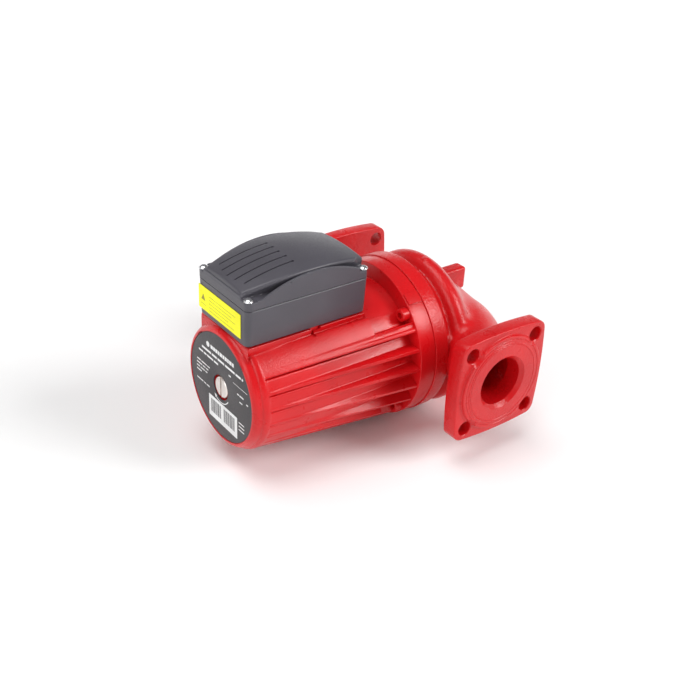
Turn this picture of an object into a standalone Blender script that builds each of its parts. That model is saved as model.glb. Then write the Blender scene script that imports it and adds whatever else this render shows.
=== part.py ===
"""In-line circulator pump with a canned rotor motor and square DN50 flanges.

Lengths are millimetres here and are scaled to metres when a mesh is made. X runs along the motor
axis, from the nameplate to the pump; Y runs along the pipe, from suction to discharge; Z is up.
The origin is where the motor axis crosses the pipe axis. Angles go round X from +Y towards +Z.
"""
import math

import bmesh
import bpy
from mathutils import Matrix, Vector

MM = 0.001
GAP = 0.3                      # clearance between neighbouring pieces

# Pipe connections
FACE_TO_FACE = 280.0           # between the two sealing faces
RAISED_FACE = 3.7              # height of the sealing face over its flange
FLANGE_THICK = 16.5
FLANGE_HALF = 54.4             # half the flange's side at the corners
FLANGE_BULGE = 2.2             # extra half side at mid-side
FLANGE_CORNER = 11.0
PORT_R = 25.5
RAISED_R = 51.0
FLANGE_BOLT = 41.2             # bolt hole offset from the port axis, both ways
FLANGE_BOLT_R = 7.8
FLANGE_FACE = FACE_TO_FACE / 2 - RAISED_FACE
FLANGE_BACK = FLANGE_FACE - FLANGE_THICK

# Joint between motor and pump
JOINT_X = -38.0
MOTOR_FLANGE_X = -56.5
MOTOR_FLANGE_R = 83.0
CASING_RING_R = 84.0
CASING_RING_END = -20.0
BOLT_CIRCLE_R = 75.0
BOLT_HEAD_R = 6.5
BOLT_HEAD_LEN = 8.0
BOLT_SHANK_R = 3.7
BOLT_END_X = -26.0
BOLT_ANGLES = (45.0, 135.0, 225.0, 315.0)

# Motor housing
PLATE_X = -236.0               # front of the nameplate
PLATE_R = 55.5
RIB_START_X = -222.0
RIB_START_R = 65.3
RIB_END_R = 80.9
VALLEY_START_R = 64.4
VALLEY_END_R = 66.8
RIB_COUNT = 8                  # ribs with a valley under them on one side of the housing
STATOR_BORE_R = 58.3
SPIGOT_R = 62.3
SPIGOT_END = -47.3             # the casing reaches this far into the housing

# Terminal box
BOX_X = (-233.3, -98.7)
BOX_HALF = 43.8
BOX_FOOT_HALF = 41.8
BOX_CORNER = 6.0
BOX_WALL = 2.8
POST_R = 9.3                   # pillars in the corners, for the cover's screws
RIM_LIP = 1.2                  # outer part of the rim that stands up round the gasket
BOX_BOTTOM = 63.3
BOX_FLOOR = 66.3
BOX_RIM = 99.8
BOX_LEDGE = 98.2               # the gasket lies on it, inside the rim
COVER_BOTTOM = 100.3
ARCH_TOP = 128.0
ARCH_X = -160.0
ARCH_RADIUS = 207.0
POCKET_FLOOR = 108.5
COVER_SCREW_X = (-229.0, -103.0)
COVER_SCREW_Y = 39.0
PEDESTAL_TOP = 61.5
BOX_SCREW_X = (-215.0, -118.0)
BOX_SCREW_Y = 30.0
WIRE_HOLE = (-203.0, 18.0)
WIRE_HOLE_R = 8.0
ENTRY_X = (-130.0, -175.0)     # cable gland, blanking plug
ENTRY_Z = 82.0
ENTRY_R = 8.3
ENTRY_FACE = BOX_HALF + 0.1    # where the entries' flanges sit

# Rotor and wet end
SHAFT_R = 8.0
SHAFT_NOSE_R = 6.0
CAN_R = 33.6
CAN_WALL = 0.8
IMPELLER_R = 54.0
CHAMBER_R = 58.0
EYE_R = 24.0

PARTS = "circulator_pump"
CUTTERS = "cutters"

RED = ("red_paint", (0.62, 0.012, 0.018), 0.30, 0.0)
CAST_RED = ("red_paint_cast", (0.60, 0.012, 0.018), 0.34, 0.0)
BLACK = ("dark_plastic", (0.085, 0.085, 0.092), 0.45, 0.0)
PRINT = ("plate_print", (0.03, 0.027, 0.03), 0.35, 0.0)
YELLOW = ("label_yellow", (0.95, 0.90, 0.01), 0.40, 0.0)
STEEL = ("bright_steel", (0.62, 0.62, 0.63), 0.25, 1.0)
NICKEL = ("nickel", (0.80, 0.76, 0.72), 0.35, 1.0)
BRASS = ("brass", (0.72, 0.52, 0.22), 0.30, 1.0)
RUBBER = ("rubber", (0.02, 0.02, 0.022), 0.80, 0.0)
LAMINATION = ("lamination", (0.25, 0.25, 0.27), 0.50, 1.0)
COPPER = ("copper", (0.75, 0.30, 0.12), 0.35, 1.0)
CARBON = ("carbon", (0.04, 0.04, 0.045), 0.40, 0.0)
CERAMIC = ("ceramic", (0.85, 0.83, 0.78), 0.25, 0.0)
GREY = ("grey_plastic", (0.45, 0.46, 0.48), 0.50, 0.0)
STAINLESS = ("stainless", (0.66, 0.66, 0.67), 0.28, 1.0)


# ---------------------------------------------------------------- scene and object helpers

def clear_scene():
    for obj in list(bpy.data.objects):
        bpy.data.objects.remove(obj, do_unlink=True)


def collection(name):
    found = bpy.data.collections.get(name)
    if found is None:
        found = bpy.data.collections.new(name)
        bpy.context.scene.collection.children.link(found)
    return found


def material(spec):
    name, colour, roughness, metallic = spec
    found = bpy.data.materials.get(name)
    if found is None:
        found = bpy.data.materials.new(name)
        found.use_nodes = True
        shader = found.node_tree.nodes["Principled BSDF"]
        shader.inputs["Base Color"].default_value = (*colour, 1.0)
        shader.inputs["Roughness"].default_value = roughness
        shader.inputs["Metallic"].default_value = metallic
        found.diffuse_color = (*colour, 1.0)
    return found


def place(name, mesh, spec=None):
    """Put a mesh in the scene: a part when it has a material, a cutter when it has none."""
    obj = bpy.data.objects.new(name, mesh)
    if spec is None:
        obj.hide_render = True
        obj.display_type = "WIRE"
        collection(CUTTERS).objects.link(obj)
    else:
        mesh.materials.append(material(spec))
        collection(PARTS).objects.link(obj)
    return obj


def finish_mesh(bm, name, smooth_angle=40.0):
    bmesh.ops.recalc_face_normals(bm, faces=bm.faces)
    mesh = bpy.data.meshes.new(name)
    bm.to_mesh(mesh)
    bm.free()
    mesh.shade_smooth()
    mesh.set_sharp_from_angle(angle=math.radians(smooth_angle))
    return mesh


def combine(target, other, operation):
    modifier = target.modifiers.new(operation.lower() + "_" + other.name, "BOOLEAN")
    modifier.operation = operation
    modifier.solver = "EXACT"
    modifier.object = other


def cut(target, *cutters):
    for cutter in cutters:
        combine(target, cutter, "DIFFERENCE")
    return target


def join(target, *pieces):
    for piece in pieces:
        combine(target, piece, "UNION")
    return target


# ---------------------------------------------------------------- shape helpers

def axis_matrix(axis):
    """Turn a shape made along local Z so that it runs along the named world axis."""
    turns = {"X": Matrix.Rotation(math.radians(90), 4, "Y"),
             "Y": Matrix.Rotation(math.radians(-90), 4, "X"),
             "Z": Matrix.Identity(4)}
    return turns[axis]


def turned(name, profile, spec=None, axis="X", centre=(0, 0, 0), steps=24):
    """Solid of revolution from (place along the axis, radius) pairs."""
    ring = min(r for _, r in profile) > 0
    area = sum(a[1] * b[0] - b[1] * a[0] for a, b in zip(profile, profile[1:] + profile[:1]))
    points = list(profile)
    if (ring and area > 0) or (not ring and points[0][0] < points[-1][0]):
        points.reverse()
    bm = bmesh.new()
    verts = [bm.verts.new((r * MM, 0.0, along * MM)) for along, r in points]
    for first, second in zip(verts, verts[1:]):
        bm.edges.new((first, second))
    if ring:
        bm.edges.new((verts[-1], verts[0]))
    mesh = bpy.data.meshes.new(name)
    bm.to_mesh(mesh)
    bm.free()
    obj = place(name, mesh, spec)
    screw = obj.modifiers.new("turn", "SCREW")
    screw.axis = "Z"
    screw.steps = steps
    screw.render_steps = steps
    screw.use_merge_vertices = True
    screw.merge_threshold = 0.00001
    screw.use_smooth_shade = True
    obj.matrix_world = Matrix.Translation(Vector(centre) * MM) @ axis_matrix(axis)
    return obj


def cylinder(name, radius, start, end, spec=None, axis="X", centre=(0, 0, 0), sides=12):
    """Plain cylinder, or a hexagon with six sides, from start to end along its axis."""
    bm = bmesh.new()
    bmesh.ops.create_cone(bm, cap_ends=True, segments=sides, radius1=radius * MM,
                          radius2=radius * MM, depth=(end - start) * MM)
    bmesh.ops.translate(bm, verts=bm.verts, vec=(0, 0, (start + end) / 2 * MM))
    obj = place(name, finish_mesh(bm, name), spec)
    obj.matrix_world = Matrix.Translation(Vector(centre) * MM) @ axis_matrix(axis)
    return obj


def block(name, low, high, spec=None):
    """Box between two opposite corners."""
    bm = bmesh.new()
    size = [(b - a) * MM for a, b in zip(low, high)]
    bmesh.ops.create_cube(bm, size=1.0, matrix=Matrix.Diagonal((*size, 1.0)))
    obj = place(name, finish_mesh(bm, name), spec)
    obj.location = [(a + b) / 2 * MM for a, b in zip(low, high)]
    return obj


def slab(name, outline, low, high, spec=None, axis="Z"):
    """Flat outline, thick along an axis. Outlines are (x, y), (x, z) for Y and (y, z) for X."""
    curve = bpy.data.curves.new(name, "CURVE")
    curve.dimensions = "2D"
    curve.fill_mode = "BOTH"
    curve.extrude = (high - low) / 2 * MM
    spline = curve.splines.new("POLY")
    spline.points.add(len(outline) - 1)
    for point, (u, v) in zip(spline.points, outline):
        point.co = (u * MM, v * MM, 0.0, 1.0)
    spline.use_cyclic_u = True
    guide = bpy.data.objects.new(name + "_outline", curve)
    bpy.context.scene.collection.objects.link(guide)
    bpy.context.view_layer.update()
    depsgraph = bpy.context.evaluated_depsgraph_get()
    flat = bpy.data.meshes.new_from_object(guide.evaluated_get(depsgraph))
    bpy.data.objects.remove(guide, do_unlink=True)
    bm = bmesh.new()
    bm.from_mesh(flat)
    bpy.data.meshes.remove(flat)
    bmesh.ops.remove_doubles(bm, verts=bm.verts, dist=0.00001)
    middle = (low + high) / 2 * MM
    turns = {"Z": Matrix(((1, 0, 0, 0), (0, 1, 0, 0), (0, 0, 1, middle), (0, 0, 0, 1))),
             "Y": Matrix(((1, 0, 0, 0), (0, 0, -1, middle), (0, 1, 0, 0), (0, 0, 0, 1))),
             "X": Matrix(((0, 0, 1, middle), (1, 0, 0, 0), (0, 1, 0, 0), (0, 0, 0, 1)))}
    obj = place(name, finish_mesh(bm, name), spec)
    obj.matrix_world = turns[axis]
    return obj


def loft(name, rings, spec=None):
    """Closed skin over rings with equal numbers of points, flat at both ends."""
    bm = bmesh.new()
    rows = [[bm.verts.new(Vector(point) * MM) for point in ring] for ring in rings]
    count = len(rows[0])
    for row, following in zip(rows, rows[1:]):
        for i in range(count):
            j = (i + 1) % count
            bm.faces.new((row[i], row[j], following[j], following[i]))
    bm.faces.new(rows[0])
    bm.faces.new(rows[-1])
    return place(name, finish_mesh(bm, name), spec)


def loop_loft(name, rings, spec=None):
    """Closed skin over rings that follow each other round in a loop."""
    bm = bmesh.new()
    rows = [[bm.verts.new(Vector(point) * MM) for point in ring] for ring in rings]
    count = len(rows[0])
    for row, following in zip(rows, rows[1:] + rows[:1]):
        for i in range(count):
            j = (i + 1) % count
            bm.faces.new((row[i], row[j], following[j], following[i]))
    return place(name, finish_mesh(bm, name), spec)


def polar(x, radius, degrees):
    angle = math.radians(degrees)
    return (x, radius * math.cos(angle), radius * math.sin(angle))


def rounded_rectangle(x_range, y_range, radius, corner_steps=2):
    points = []
    corners = ((x_range[1], y_range[1], 0), (x_range[0], y_range[1], 90),
               (x_range[0], y_range[0], 180), (x_range[1], y_range[0], 270))
    for x, y, start in corners:
        cx = x - math.copysign(radius, x - sum(x_range) / 2)
        cy = y - math.copysign(radius, y - sum(y_range) / 2)
        for step in range(corner_steps + 1):
            angle = math.radians(start + 90 * step / corner_steps)
            points.append((cx + radius * math.cos(angle), cy + radius * math.sin(angle)))
    return points


def rectangle_ring(x_range, y_half, radius, z):
    return [(x, y, z) for x, y in rounded_rectangle(x_range, (-y_half, y_half), radius)]


# ---------------------------------------------------------------- pump casing

def flange_outline():
    """Square with convex sides and round corners."""
    points = []
    flat = FLANGE_HALF - FLANGE_CORNER
    side_steps = 3
    corner_steps = 3
    for quarter in range(4):
        turn = math.radians(90 * quarter)
        for i in range(side_steps + 1):
            along = flat * (2 * i / side_steps - 1)
            out = FLANGE_HALF + FLANGE_BULGE * (1 - (along / flat) ** 2)
            points.append((out * math.cos(turn) - along * math.sin(turn),
                           out * math.sin(turn) + along * math.cos(turn)))
        for i in range(1, corner_steps):
            angle = turn + math.radians(90 * i / corner_steps)
            cx = flat * (math.cos(turn) - math.sin(turn))
            cz = flat * (math.sin(turn) + math.cos(turn))
            points.append((cx + FLANGE_CORNER * math.cos(angle),
                           cz + FLANGE_CORNER * math.sin(angle)))
    return points


def volute_growth(degrees):
    """How far the volute has opened, in mm, from its tongue round to the discharge."""
    tongue = 30.0
    round_angle = (degrees - tongue) % 360
    opening = 315.0
    if round_angle <= opening:
        return -1.0 + 0.0353 * round_angle
    last = -1.0 + 0.0353 * opening
    return last + (-1.0 - last) * (round_angle - opening) / (360 - opening)


def volute_skin():
    """Outer wall of the volute: (x, radius, share of the opening) from the ring to the back."""
    profile = [(-24, 76, 0), (-9, 76.3, 0.1), (-3, 79, 0.7), (4, 80, 0.8), (12, 76, 0.8),
               (20, 67.6, 0.7), (32, 55, 0.6), (46, 41, 0.3), (58.5, 28, 0)]
    around = 32
    rings = []
    for x, radius, share in profile:
        rings.append([polar(x, radius + share * volute_growth(360 * i / around), 360 * i / around)
                      for i in range(around)])
    return loft("volute_skin", rings)


def volute_channel():
    """Water channel round the impeller, wider towards the discharge."""
    section = [(-7, 56, 0), (-5, 64, 0.7), (1, 69.5, 0.9), (9, 69, 0.9), (16, 62, 0.8), (14, 55, 0)]
    around = 28
    rings = []
    for i in range(around):
        angle = 360 * i / around
        rings.append([polar(x, radius + share * volute_growth(angle), angle)
                      for x, radius, share in section])
    return loop_loft("volute_channel", rings)


def pipe(name, stations, sides=16):
    """Loft of upright ellipses: (x, y, z, half width in x, half height in z)."""
    rings = []
    for x, y, z, wide, tall in stations:
        rings.append([(x + wide * math.cos(2 * math.pi * i / sides), y,
                       z + tall * math.sin(2 * math.pi * i / sides)) for i in range(sides)])
    return loft(name, rings)


def suction_bend():
    return pipe("suction_bend", [
        (0, -FLANGE_BACK - 2, 0, 33, 33), (1.5, -112, 0, 33, 33), (8, -96, 0, 33, 33),
        (18, -77, 0, 34, 34), (29, -58, 0, 35, 35), (36, -40, 0, 35, 34),
        (40, -10, 0, 33, 32), (40, 10, 0, 30, 29), (40, 24, 0, 20, 20)])


def suction_passage():
    return pipe("suction_passage", [
        (0, -FACE_TO_FACE / 2 - 2, 0, PORT_R, PORT_R), (0.5, -118, 0, PORT_R, PORT_R),
        (7, -104, 0, 25.5, 25.5), (15, -92, 0, 23, 26), (26, -81, 0, 18, 27),
        (35, -73, 0, 14, 27), (40, -60, 0, 17, 27), (45, -32, 0, 20.5, 25),
        (45.5, 2, 0, 20.5, 24), (45.5, 14, 0, 14, 15)])


def discharge_neck():
    return pipe("discharge_neck", [
        (9, -8, -58, 20, 20), (9, 26, -56, 24, 24), (8, 56, -43, 28, 28), (5, 84, -22, 31, 31),
        (2, 105, -6, 33, 33), (0, FLANGE_BACK + 2, 0, 33, 33)])


def discharge_passage():
    return pipe("discharge_passage", [
        (9, -6, -62, 10, 10), (9, 26, -58, 16, 16), (8, 56, -44, 20, 20), (5, 84, -23, 23.5, 23.5),
        (2, 105, -7, 25.5, 25.5), (0, 120, 0, PORT_R, PORT_R),
        (0, FACE_TO_FACE / 2 + 2, 0, PORT_R, PORT_R)])


def casing_bore():
    """Opening for the bearing plate, the impeller chamber, the wear ring seat and the eye."""
    return turned("casing_bore", [(-52, 0), (-52, CHAMBER_R), (17.5, CHAMBER_R), (17.5, 34),
                                  (23.5, 34), (23.5, 31.5), (30.5, 31.5), (30.5, 26),
                                  (42, 26), (42, 0)], steps=32)


def pump_casing():
    ring_groove = turned("o_ring_groove", [(JOINT_X - 1, 65.0), (JOINT_X - 1, 69.0),
                                           (-34.2, 69.0), (-34.2, 65.0)])
    face = JOINT_X + GAP / 2
    casing = turned("pump_casing", [(SPIGOT_END, 0), (SPIGOT_END, SPIGOT_R - 0.4),
                                    (face, SPIGOT_R - 0.4), (face, CASING_RING_R),
                                    (CASING_RING_END, CASING_RING_R), (CASING_RING_END, 0)],
                    CAST_RED, steps=40)
    join(casing, volute_skin(), suction_bend(), discharge_neck())
    for name, side in (("suction", -1), ("discharge", 1)):
        near, far = sorted((side * FLANGE_BACK, side * FLANGE_FACE))
        plate = slab(name + "_flange", flange_outline(), near, far, axis="Y")
        near, far = sorted((side * (FLANGE_FACE - 2), side * FACE_TO_FACE / 2))
        raised = cylinder(name + "_raised_face", RAISED_R, near, far, axis="Y", sides=28)
        join(casing, plate, raised)
    for name, side in (("upper", 1), ("lower", -1)):
        near, far = sorted((side * 16, side * 42))
        join(casing, block(name + "_foot", (44, 9.5, near), (82, 25, far)))
    join(casing, block("foot_web", (50, 10.5, -30), (71, 24, 30)))
    cut(casing, casing_bore(), volute_channel(), suction_passage(), discharge_passage(),
        ring_groove)
    for side in (-1, 1):
        for x in (-FLANGE_BOLT, FLANGE_BOLT):
            for z in (-FLANGE_BOLT, FLANGE_BOLT):
                near, far = sorted((side * (FLANGE_BACK - 6), side * (FLANGE_FACE + 2)))
                hole = cylinder("flange_hole", FLANGE_BOLT_R, near, far, axis="Y", centre=(x, 0, z))
                cut(casing, hole)
    for angle in BOLT_ANGLES:
        _, y, z = polar(0, BOLT_CIRCLE_R, angle)
        cut(casing, cylinder("casing_thread", BOLT_SHANK_R + GAP, JOINT_X - 2, BOLT_END_X + 2,
                             centre=(0, y, z)))
    for side in (-1, 1):
        cut(casing, cylinder("foot_thread", 5.0, 66, 84, centre=(0, 17.25, side * 30)))
    return casing


# ---------------------------------------------------------------- motor housing

def rib_edges(number, share):
    """Angles of a rib's lower edge and of the next rib's upper edge, share 0 front to 1 back."""
    lower = 148.3 + 14.3 * number + share * (1.7 + 0.3 * number)
    start_width = 2.4
    end_width = 11.4
    return lower, lower + start_width + (end_width - start_width) * share


def housing_section(share):
    """Half a section of the ribbed barrel: (angle, radius) from the top to the bottom."""
    crest = RIB_START_R + (RIB_END_R - RIB_START_R) * share
    valley = VALLEY_START_R + (VALLEY_END_R - VALLEY_START_R) * share
    points = [(90, valley), (102, valley), (114, valley), (125, valley),
              (127 + 2.0 * share, valley), (127.6 + 2.6 * share, crest), (138, crest)]
    for number in range(RIB_COUNT):
        lower, upper = rib_edges(number, share)
        points += [(lower, crest), (lower + 0.6 + 0.8 * share, valley),
                   (lower + (upper - lower) * 0.62, valley + 0.1), (upper, crest)]
    points.append((270, crest))
    return points


def housing_ring(x, section):
    """Full ring of points from half a section, mirrored in the upright plane."""
    mirrored = [(180 - angle, radius) for angle, radius in reversed(section[1:-1])]
    return [polar(x, radius, angle) for angle, radius in section + mirrored]


def barrel():
    """End bell, ribbed barrel and bolting flange in one skin."""
    front = [(-236.3, 57.4), (-234.0, 60.2), (-229.0, 62.4), (-228.3, 63.8)]
    rings = []
    start = housing_section(0)
    for x, radius in front:
        rings.append(housing_ring(x, [(angle, radius) for angle, _ in start]))
    for share in (0.0, 0.5, 1.0):
        x = RIB_START_X + (MOTOR_FLANGE_X - RIB_START_X) * share
        rings.append(housing_ring(x, housing_section(share)))
    end = housing_section(1)
    for x in (MOTOR_FLANGE_X, JOINT_X - GAP / 2):
        rings.append(housing_ring(x, [(angle, MOTOR_FLANGE_R) for angle, _ in end]))
    return loft("motor_housing", rings, RED)


def tool_pocket(angle):
    """Room for a bolt head, and for the key in front of it."""
    pocket = block("tool_pocket", (-101, -10, 0), (MOTOR_FLANGE_X, 10, 24))
    _, y, z = polar(0, 67.0 + 12, angle)
    centre_x = (-101 + MOTOR_FLANGE_X) / 2
    pocket.matrix_world = (Matrix.Translation(Vector((centre_x, y, z)) * MM)
                           @ Matrix.Rotation(math.radians(angle - 90), 4, "X"))
    return pocket


def pedestal():
    rings = []
    for z, x_range, half in ((36, (-222, -103), 36), (54, (-229, -99.6), 39.5),
                             (PEDESTAL_TOP, (-231.5, -99.2), 41.8)):
        rings.append(rectangle_ring(x_range, half, 4.0, z))
    return loft("pedestal", rings)


def motor_housing():
    housing = barrel()
    join(housing, pedestal())
    cut(housing, block("box_seat", (-240, -44, PEDESTAL_TOP), (-98, 44, 90)))
    inside = turned("housing_inside", [(-240, 0), (-240, PLATE_R + 0.4), (-234.7, PLATE_R + 0.4),
                                       (-234.7, 12.6), (-226, 12.6), (-226, STATOR_BORE_R),
                                       (-58, STATOR_BORE_R), (-58, SPIGOT_R), (-34, SPIGOT_R),
                                       (-34, 0)], steps=40)
    cut(housing, inside)
    for angle in BOLT_ANGLES:
        _, y, z = polar(0, BOLT_CIRCLE_R, angle)
        cut(housing, tool_pocket(angle))
        cut(housing, cylinder("bolt_hole", BOLT_SHANK_R + 0.5, MOTOR_FLANGE_X - 2, JOINT_X + 2,
                              centre=(0, y, z)))
    x, y = WIRE_HOLE
    cut(housing, cylinder("wire_hole", WIRE_HOLE_R, 40, 64, axis="Z", centre=(x, y, 0), sides=16))
    for x, y, _ in pedestal_screws():
        cut(housing, cylinder("pedestal_thread", 2.3, 54, 64, axis="Z", centre=(x, y, 0), sides=10))
    cut(housing, block("drain_notch", (-162, -45, 54.5), (-158, -38, 64)),
        block("drain_notch_head", (-162, -45, 59.5), (-151, -38, 64)))
    return housing


def pedestal_screws():
    """Places of the screws that go down into the pedestal, the earth screw last."""
    places = [(x, side * BOX_SCREW_Y, "box") for x in BOX_SCREW_X for side in (-1, 1)]
    return places + [(-170.0, BOX_SCREW_Y, "earth")]


# ---------------------------------------------------------------- nameplate and vent

def nameplate():
    return turned("nameplate", [(PLATE_X, 13.0), (PLATE_X, PLATE_R), (PLATE_X + 1, PLATE_R),
                                (PLATE_X + 1, 13.0)], PRINT, steps=40)


def vent_plug():
    plug = turned("vent_plug", [(-235.8, 0), (-235.8, 10.0), (-235.0, 10.8), (-233.0, 10.8),
                                (-233.0, 5.9), (-222.0, 5.9), (-222.0, 0)], NICKEL, steps=24)
    return cut(plug, block("plug_slot", (-237, -1.1, -12), (-234.2, 1.1, 12)))


def vent_plug_seal():
    return turned("vent_plug_seal", [(-232.7, 6.3), (-232.7, 10.4), (-231.3, 10.4),
                                     (-231.3, 6.3)], RUBBER, steps=20)


def vent_boss():
    return turned("vent_boss", [(-231.0, 6.3), (-231.0, 12.2), (-219.0, 12.2), (-219.0, 6.3)],
                  BRASS, steps=20)


# ---------------------------------------------------------------- terminal box

def cover_screw_places():
    return [(x, side * COVER_SCREW_Y, 0) for x in COVER_SCREW_X for side in (-1, 1)]


def box_entries():
    return [cylinder("entry_hole", ENTRY_R, 30, 50, axis="Y", centre=(x, 0, ENTRY_Z), sides=16)
            for x in ENTRY_X]


def terminal_box_base():
    base = loft("terminal_box_base", [
        rectangle_ring(BOX_X, BOX_FOOT_HALF, BOX_CORNER, BOX_BOTTOM),
        rectangle_ring(BOX_X, BOX_HALF, BOX_CORNER, BOX_RIM)], BLACK)
    inner_x = (BOX_X[0] + BOX_WALL, BOX_X[1] - BOX_WALL)
    hollow = loft("base_hollow", [
        rectangle_ring(inner_x, BOX_FOOT_HALF - BOX_WALL, BOX_CORNER - 2, BOX_FLOOR),
        rectangle_ring(inner_x, BOX_HALF - BOX_WALL, BOX_CORNER - 2, BOX_RIM + 2)])
    ledge_x = (BOX_X[0] + RIM_LIP, BOX_X[1] - RIM_LIP)
    ledge = loft("base_ledge", [
        rectangle_ring(ledge_x, BOX_HALF - RIM_LIP, BOX_CORNER - RIM_LIP, BOX_LEDGE),
        rectangle_ring(ledge_x, BOX_HALF - RIM_LIP, BOX_CORNER - RIM_LIP, BOX_RIM + 2)])
    for place_at in cover_screw_places():
        cut(hollow, cylinder("corner_post", POST_R, 60, 110, axis="Z", centre=place_at))
    cut(base, hollow, ledge)
    for place_at in cover_screw_places():
        cut(base, cylinder("post_hole", 2.0, 84, BOX_RIM + 2, axis="Z", centre=place_at, sides=8))
    x, y = WIRE_HOLE
    cut(base, cylinder("floor_hole", WIRE_HOLE_R + 1, 60, 70, axis="Z", centre=(x, y, 0), sides=16))
    for x, y, _ in pedestal_screws():
        cut(base, cylinder("floor_screw_hole", 2.6, 60, 70, axis="Z", centre=(x, y, 0), sides=10))
    return cut(base, *box_entries())


def arch_height(x, drop=0.0):
    radius = ARCH_RADIUS - drop
    return ARCH_TOP - ARCH_RADIUS + math.sqrt(radius ** 2 - (x - ARCH_X) ** 2)


def arch_outline(x_range, bottom, shoulder, drop):
    """Side view of the cover: straight end walls under a long arc."""
    steps = 12
    start = x_range[0] + 3
    arc = [start + (x_range[1] - start) * i / steps for i in range(steps + 1)]
    points = [(x_range[0], bottom), (x_range[0], shoulder)]
    points += [(x, arch_height(x, drop)) for x in arc]
    return points + [(x_range[1], bottom)]


def terminal_box_cover():
    cover = slab("terminal_box_cover", arch_outline(BOX_X, COVER_BOTTOM, 113.5, 0.0),
                 -BOX_HALF, BOX_HALF, BLACK, axis="Y")
    inner_x = (BOX_X[0] + BOX_WALL, BOX_X[1] - BOX_WALL)
    hollow = slab("cover_hollow", arch_outline(inner_x, COVER_BOTTOM - 5, 110.7, BOX_WALL),
                  -BOX_HALF + BOX_WALL, BOX_HALF - BOX_WALL, axis="Y")
    for place_at in cover_screw_places():
        cut(hollow, cylinder("cover_post", POST_R, 90, 140, axis="Z", centre=place_at))
    cut(cover, hollow)
    trim = loft("cover_trim_outer", [rectangle_ring((-260, -70), 70, 4, 96),
                                     rectangle_ring((-260, -70), 70, 4, 140)])
    keep = loft("cover_trim_inner", [rectangle_ring(BOX_X, BOX_HALF, BOX_CORNER, 90),
                                     rectangle_ring(BOX_X, BOX_HALF, BOX_CORNER, 145)])
    cut(trim, keep)
    cut(cover, trim)
    for place_at in cover_screw_places():
        cut(cover, cylinder("screw_pocket", 7.0, POCKET_FLOOR, 132, axis="Z",
                            centre=place_at, sides=16),
            cylinder("cover_hole", 2.1, 98, 112, axis="Z", centre=place_at, sides=8))
    return cover


def cover_gasket():
    """Flat ring that passes inside the cover's screws."""
    corner = 16.0
    outer, inner = RIM_LIP + GAP, BOX_WALL - 0.1

    def outline(inset):
        return rounded_rectangle((BOX_X[0] + inset, BOX_X[1] - inset),
                                 (inset - BOX_HALF, BOX_HALF - inset), corner - inset, 3)
    gasket = slab("cover_gasket", outline(outer), BOX_LEDGE + GAP, COVER_BOTTOM - GAP, RUBBER)
    return cut(gasket, slab("gasket_hollow", outline(inner), BOX_LEDGE - 2, COVER_BOTTOM + 2))


def box_seal():
    outer = rounded_rectangle((-228, -102), (-38, 38), 4)
    inner = rounded_rectangle((-224, -106), (-34, 34), 3)
    seal = slab("box_seal", outer, PEDESTAL_TOP + GAP, BOX_BOTTOM - GAP, RUBBER)
    return cut(seal, slab("seal_hollow", inner, 58, 66))


def pan_screw(name, x, y, seat, head_r, shank_r, tip, spec):
    """Slotted screw pointing down, its head resting on the seat."""
    top = seat + head_r * 0.58
    screw = turned(name, [(top, 0), (top - 0.5, head_r * 0.7), (seat + head_r * 0.2, head_r),
                          (seat + GAP, head_r), (seat + GAP, shank_r), (tip + 1.2, shank_r),
                          (tip, 0)], spec, axis="Z", centre=(x, y, 0), steps=10)
    return cut(screw, block(name + "_slot", (x - head_r, y - 0.5, top - 1.0),
                            (x + head_r, y + 0.5, top + 1)))


def box_fasteners():
    for number, (x, y, _) in enumerate(cover_screw_places(), 1):
        pan_screw("cover_screw_%d" % number, x, y, POCKET_FLOOR, 4.3, 1.7, 86.0, STEEL)
    for number, (x, y, kind) in enumerate(pedestal_screws(), 1):
        if kind == "earth":
            pan_screw("earth_screw", x, y, BOX_FLOOR, 3.8, 2.0, 55.5, BRASS)
        else:
            pan_screw("box_screw_%d" % number, x, y, BOX_FLOOR, 3.8, 2.0, 55.5, STEEL)


def warning_label():
    return slab("warning_label", [(-33, 69), (41, 69), (41, 93.5), (-33, 93.5)],
                BOX_X[0] - GAP - 0.3, BOX_X[0] - GAP, YELLOW, axis="X")


def cable_gland():
    """Screwed entry on the far wall: lock nut inside, body and dome nut outside, rubber inside."""
    x = ENTRY_X[0]
    centre = (x, 0, ENTRY_Z)
    outside = ENTRY_FACE
    body = turned("gland_body", [(35, 5.8), (35, 8.0), (outside, 8.0), (outside, 11.5),
                                 (outside + 4, 11.5), (outside + 4, 7.6), (outside + 9, 7.6),
                                 (outside + 9, 5.8)], GREY, axis="Y", centre=centre, steps=16)
    nut = cylinder("gland_nut", 11.0, outside + 4.3, outside + 17, GREY, axis="Y",
                   centre=centre, sides=6)
    cut(nut, turned("nut_inside", [(outside + 2, 0), (outside + 2, 8.0), (outside + 13.5, 8.0),
                                   (outside + 13.5, 5.0), (outside + 19, 5.0), (outside + 19, 0)],
                    axis="Y", centre=centre, steps=16))
    turned("gland_seal", [(outside + 9.3, 3.6), (outside + 9.3, 7.4), (outside + 13.1, 7.4),
                          (outside + 13.1, 3.6)], RUBBER, axis="Y", centre=centre, steps=16)
    locknut = cylinder("gland_lock_nut", 11.5, 34.2, 39.0, GREY, axis="Y", centre=centre, sides=6)
    cut(locknut, cylinder("lock_nut_bore", 8.4, 30, 42, axis="Y", centre=centre, sides=16))
    return body


def blanking_plug():
    outside = ENTRY_FACE
    return turned("blanking_plug", [(37, 0), (37, 8.0), (outside, 8.0), (outside, 11.0),
                                    (outside + 3, 11.0), (outside + 4, 9.5), (outside + 4, 0)],
                  GREY, axis="Y", centre=(ENTRY_X[1], 0, ENTRY_Z), steps=16)


TERMINAL_COUNT = 6
TERMINAL_X = -146.0
TERMINAL_PITCH = 9.6
TERMINAL_TOP = 82.0


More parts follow.
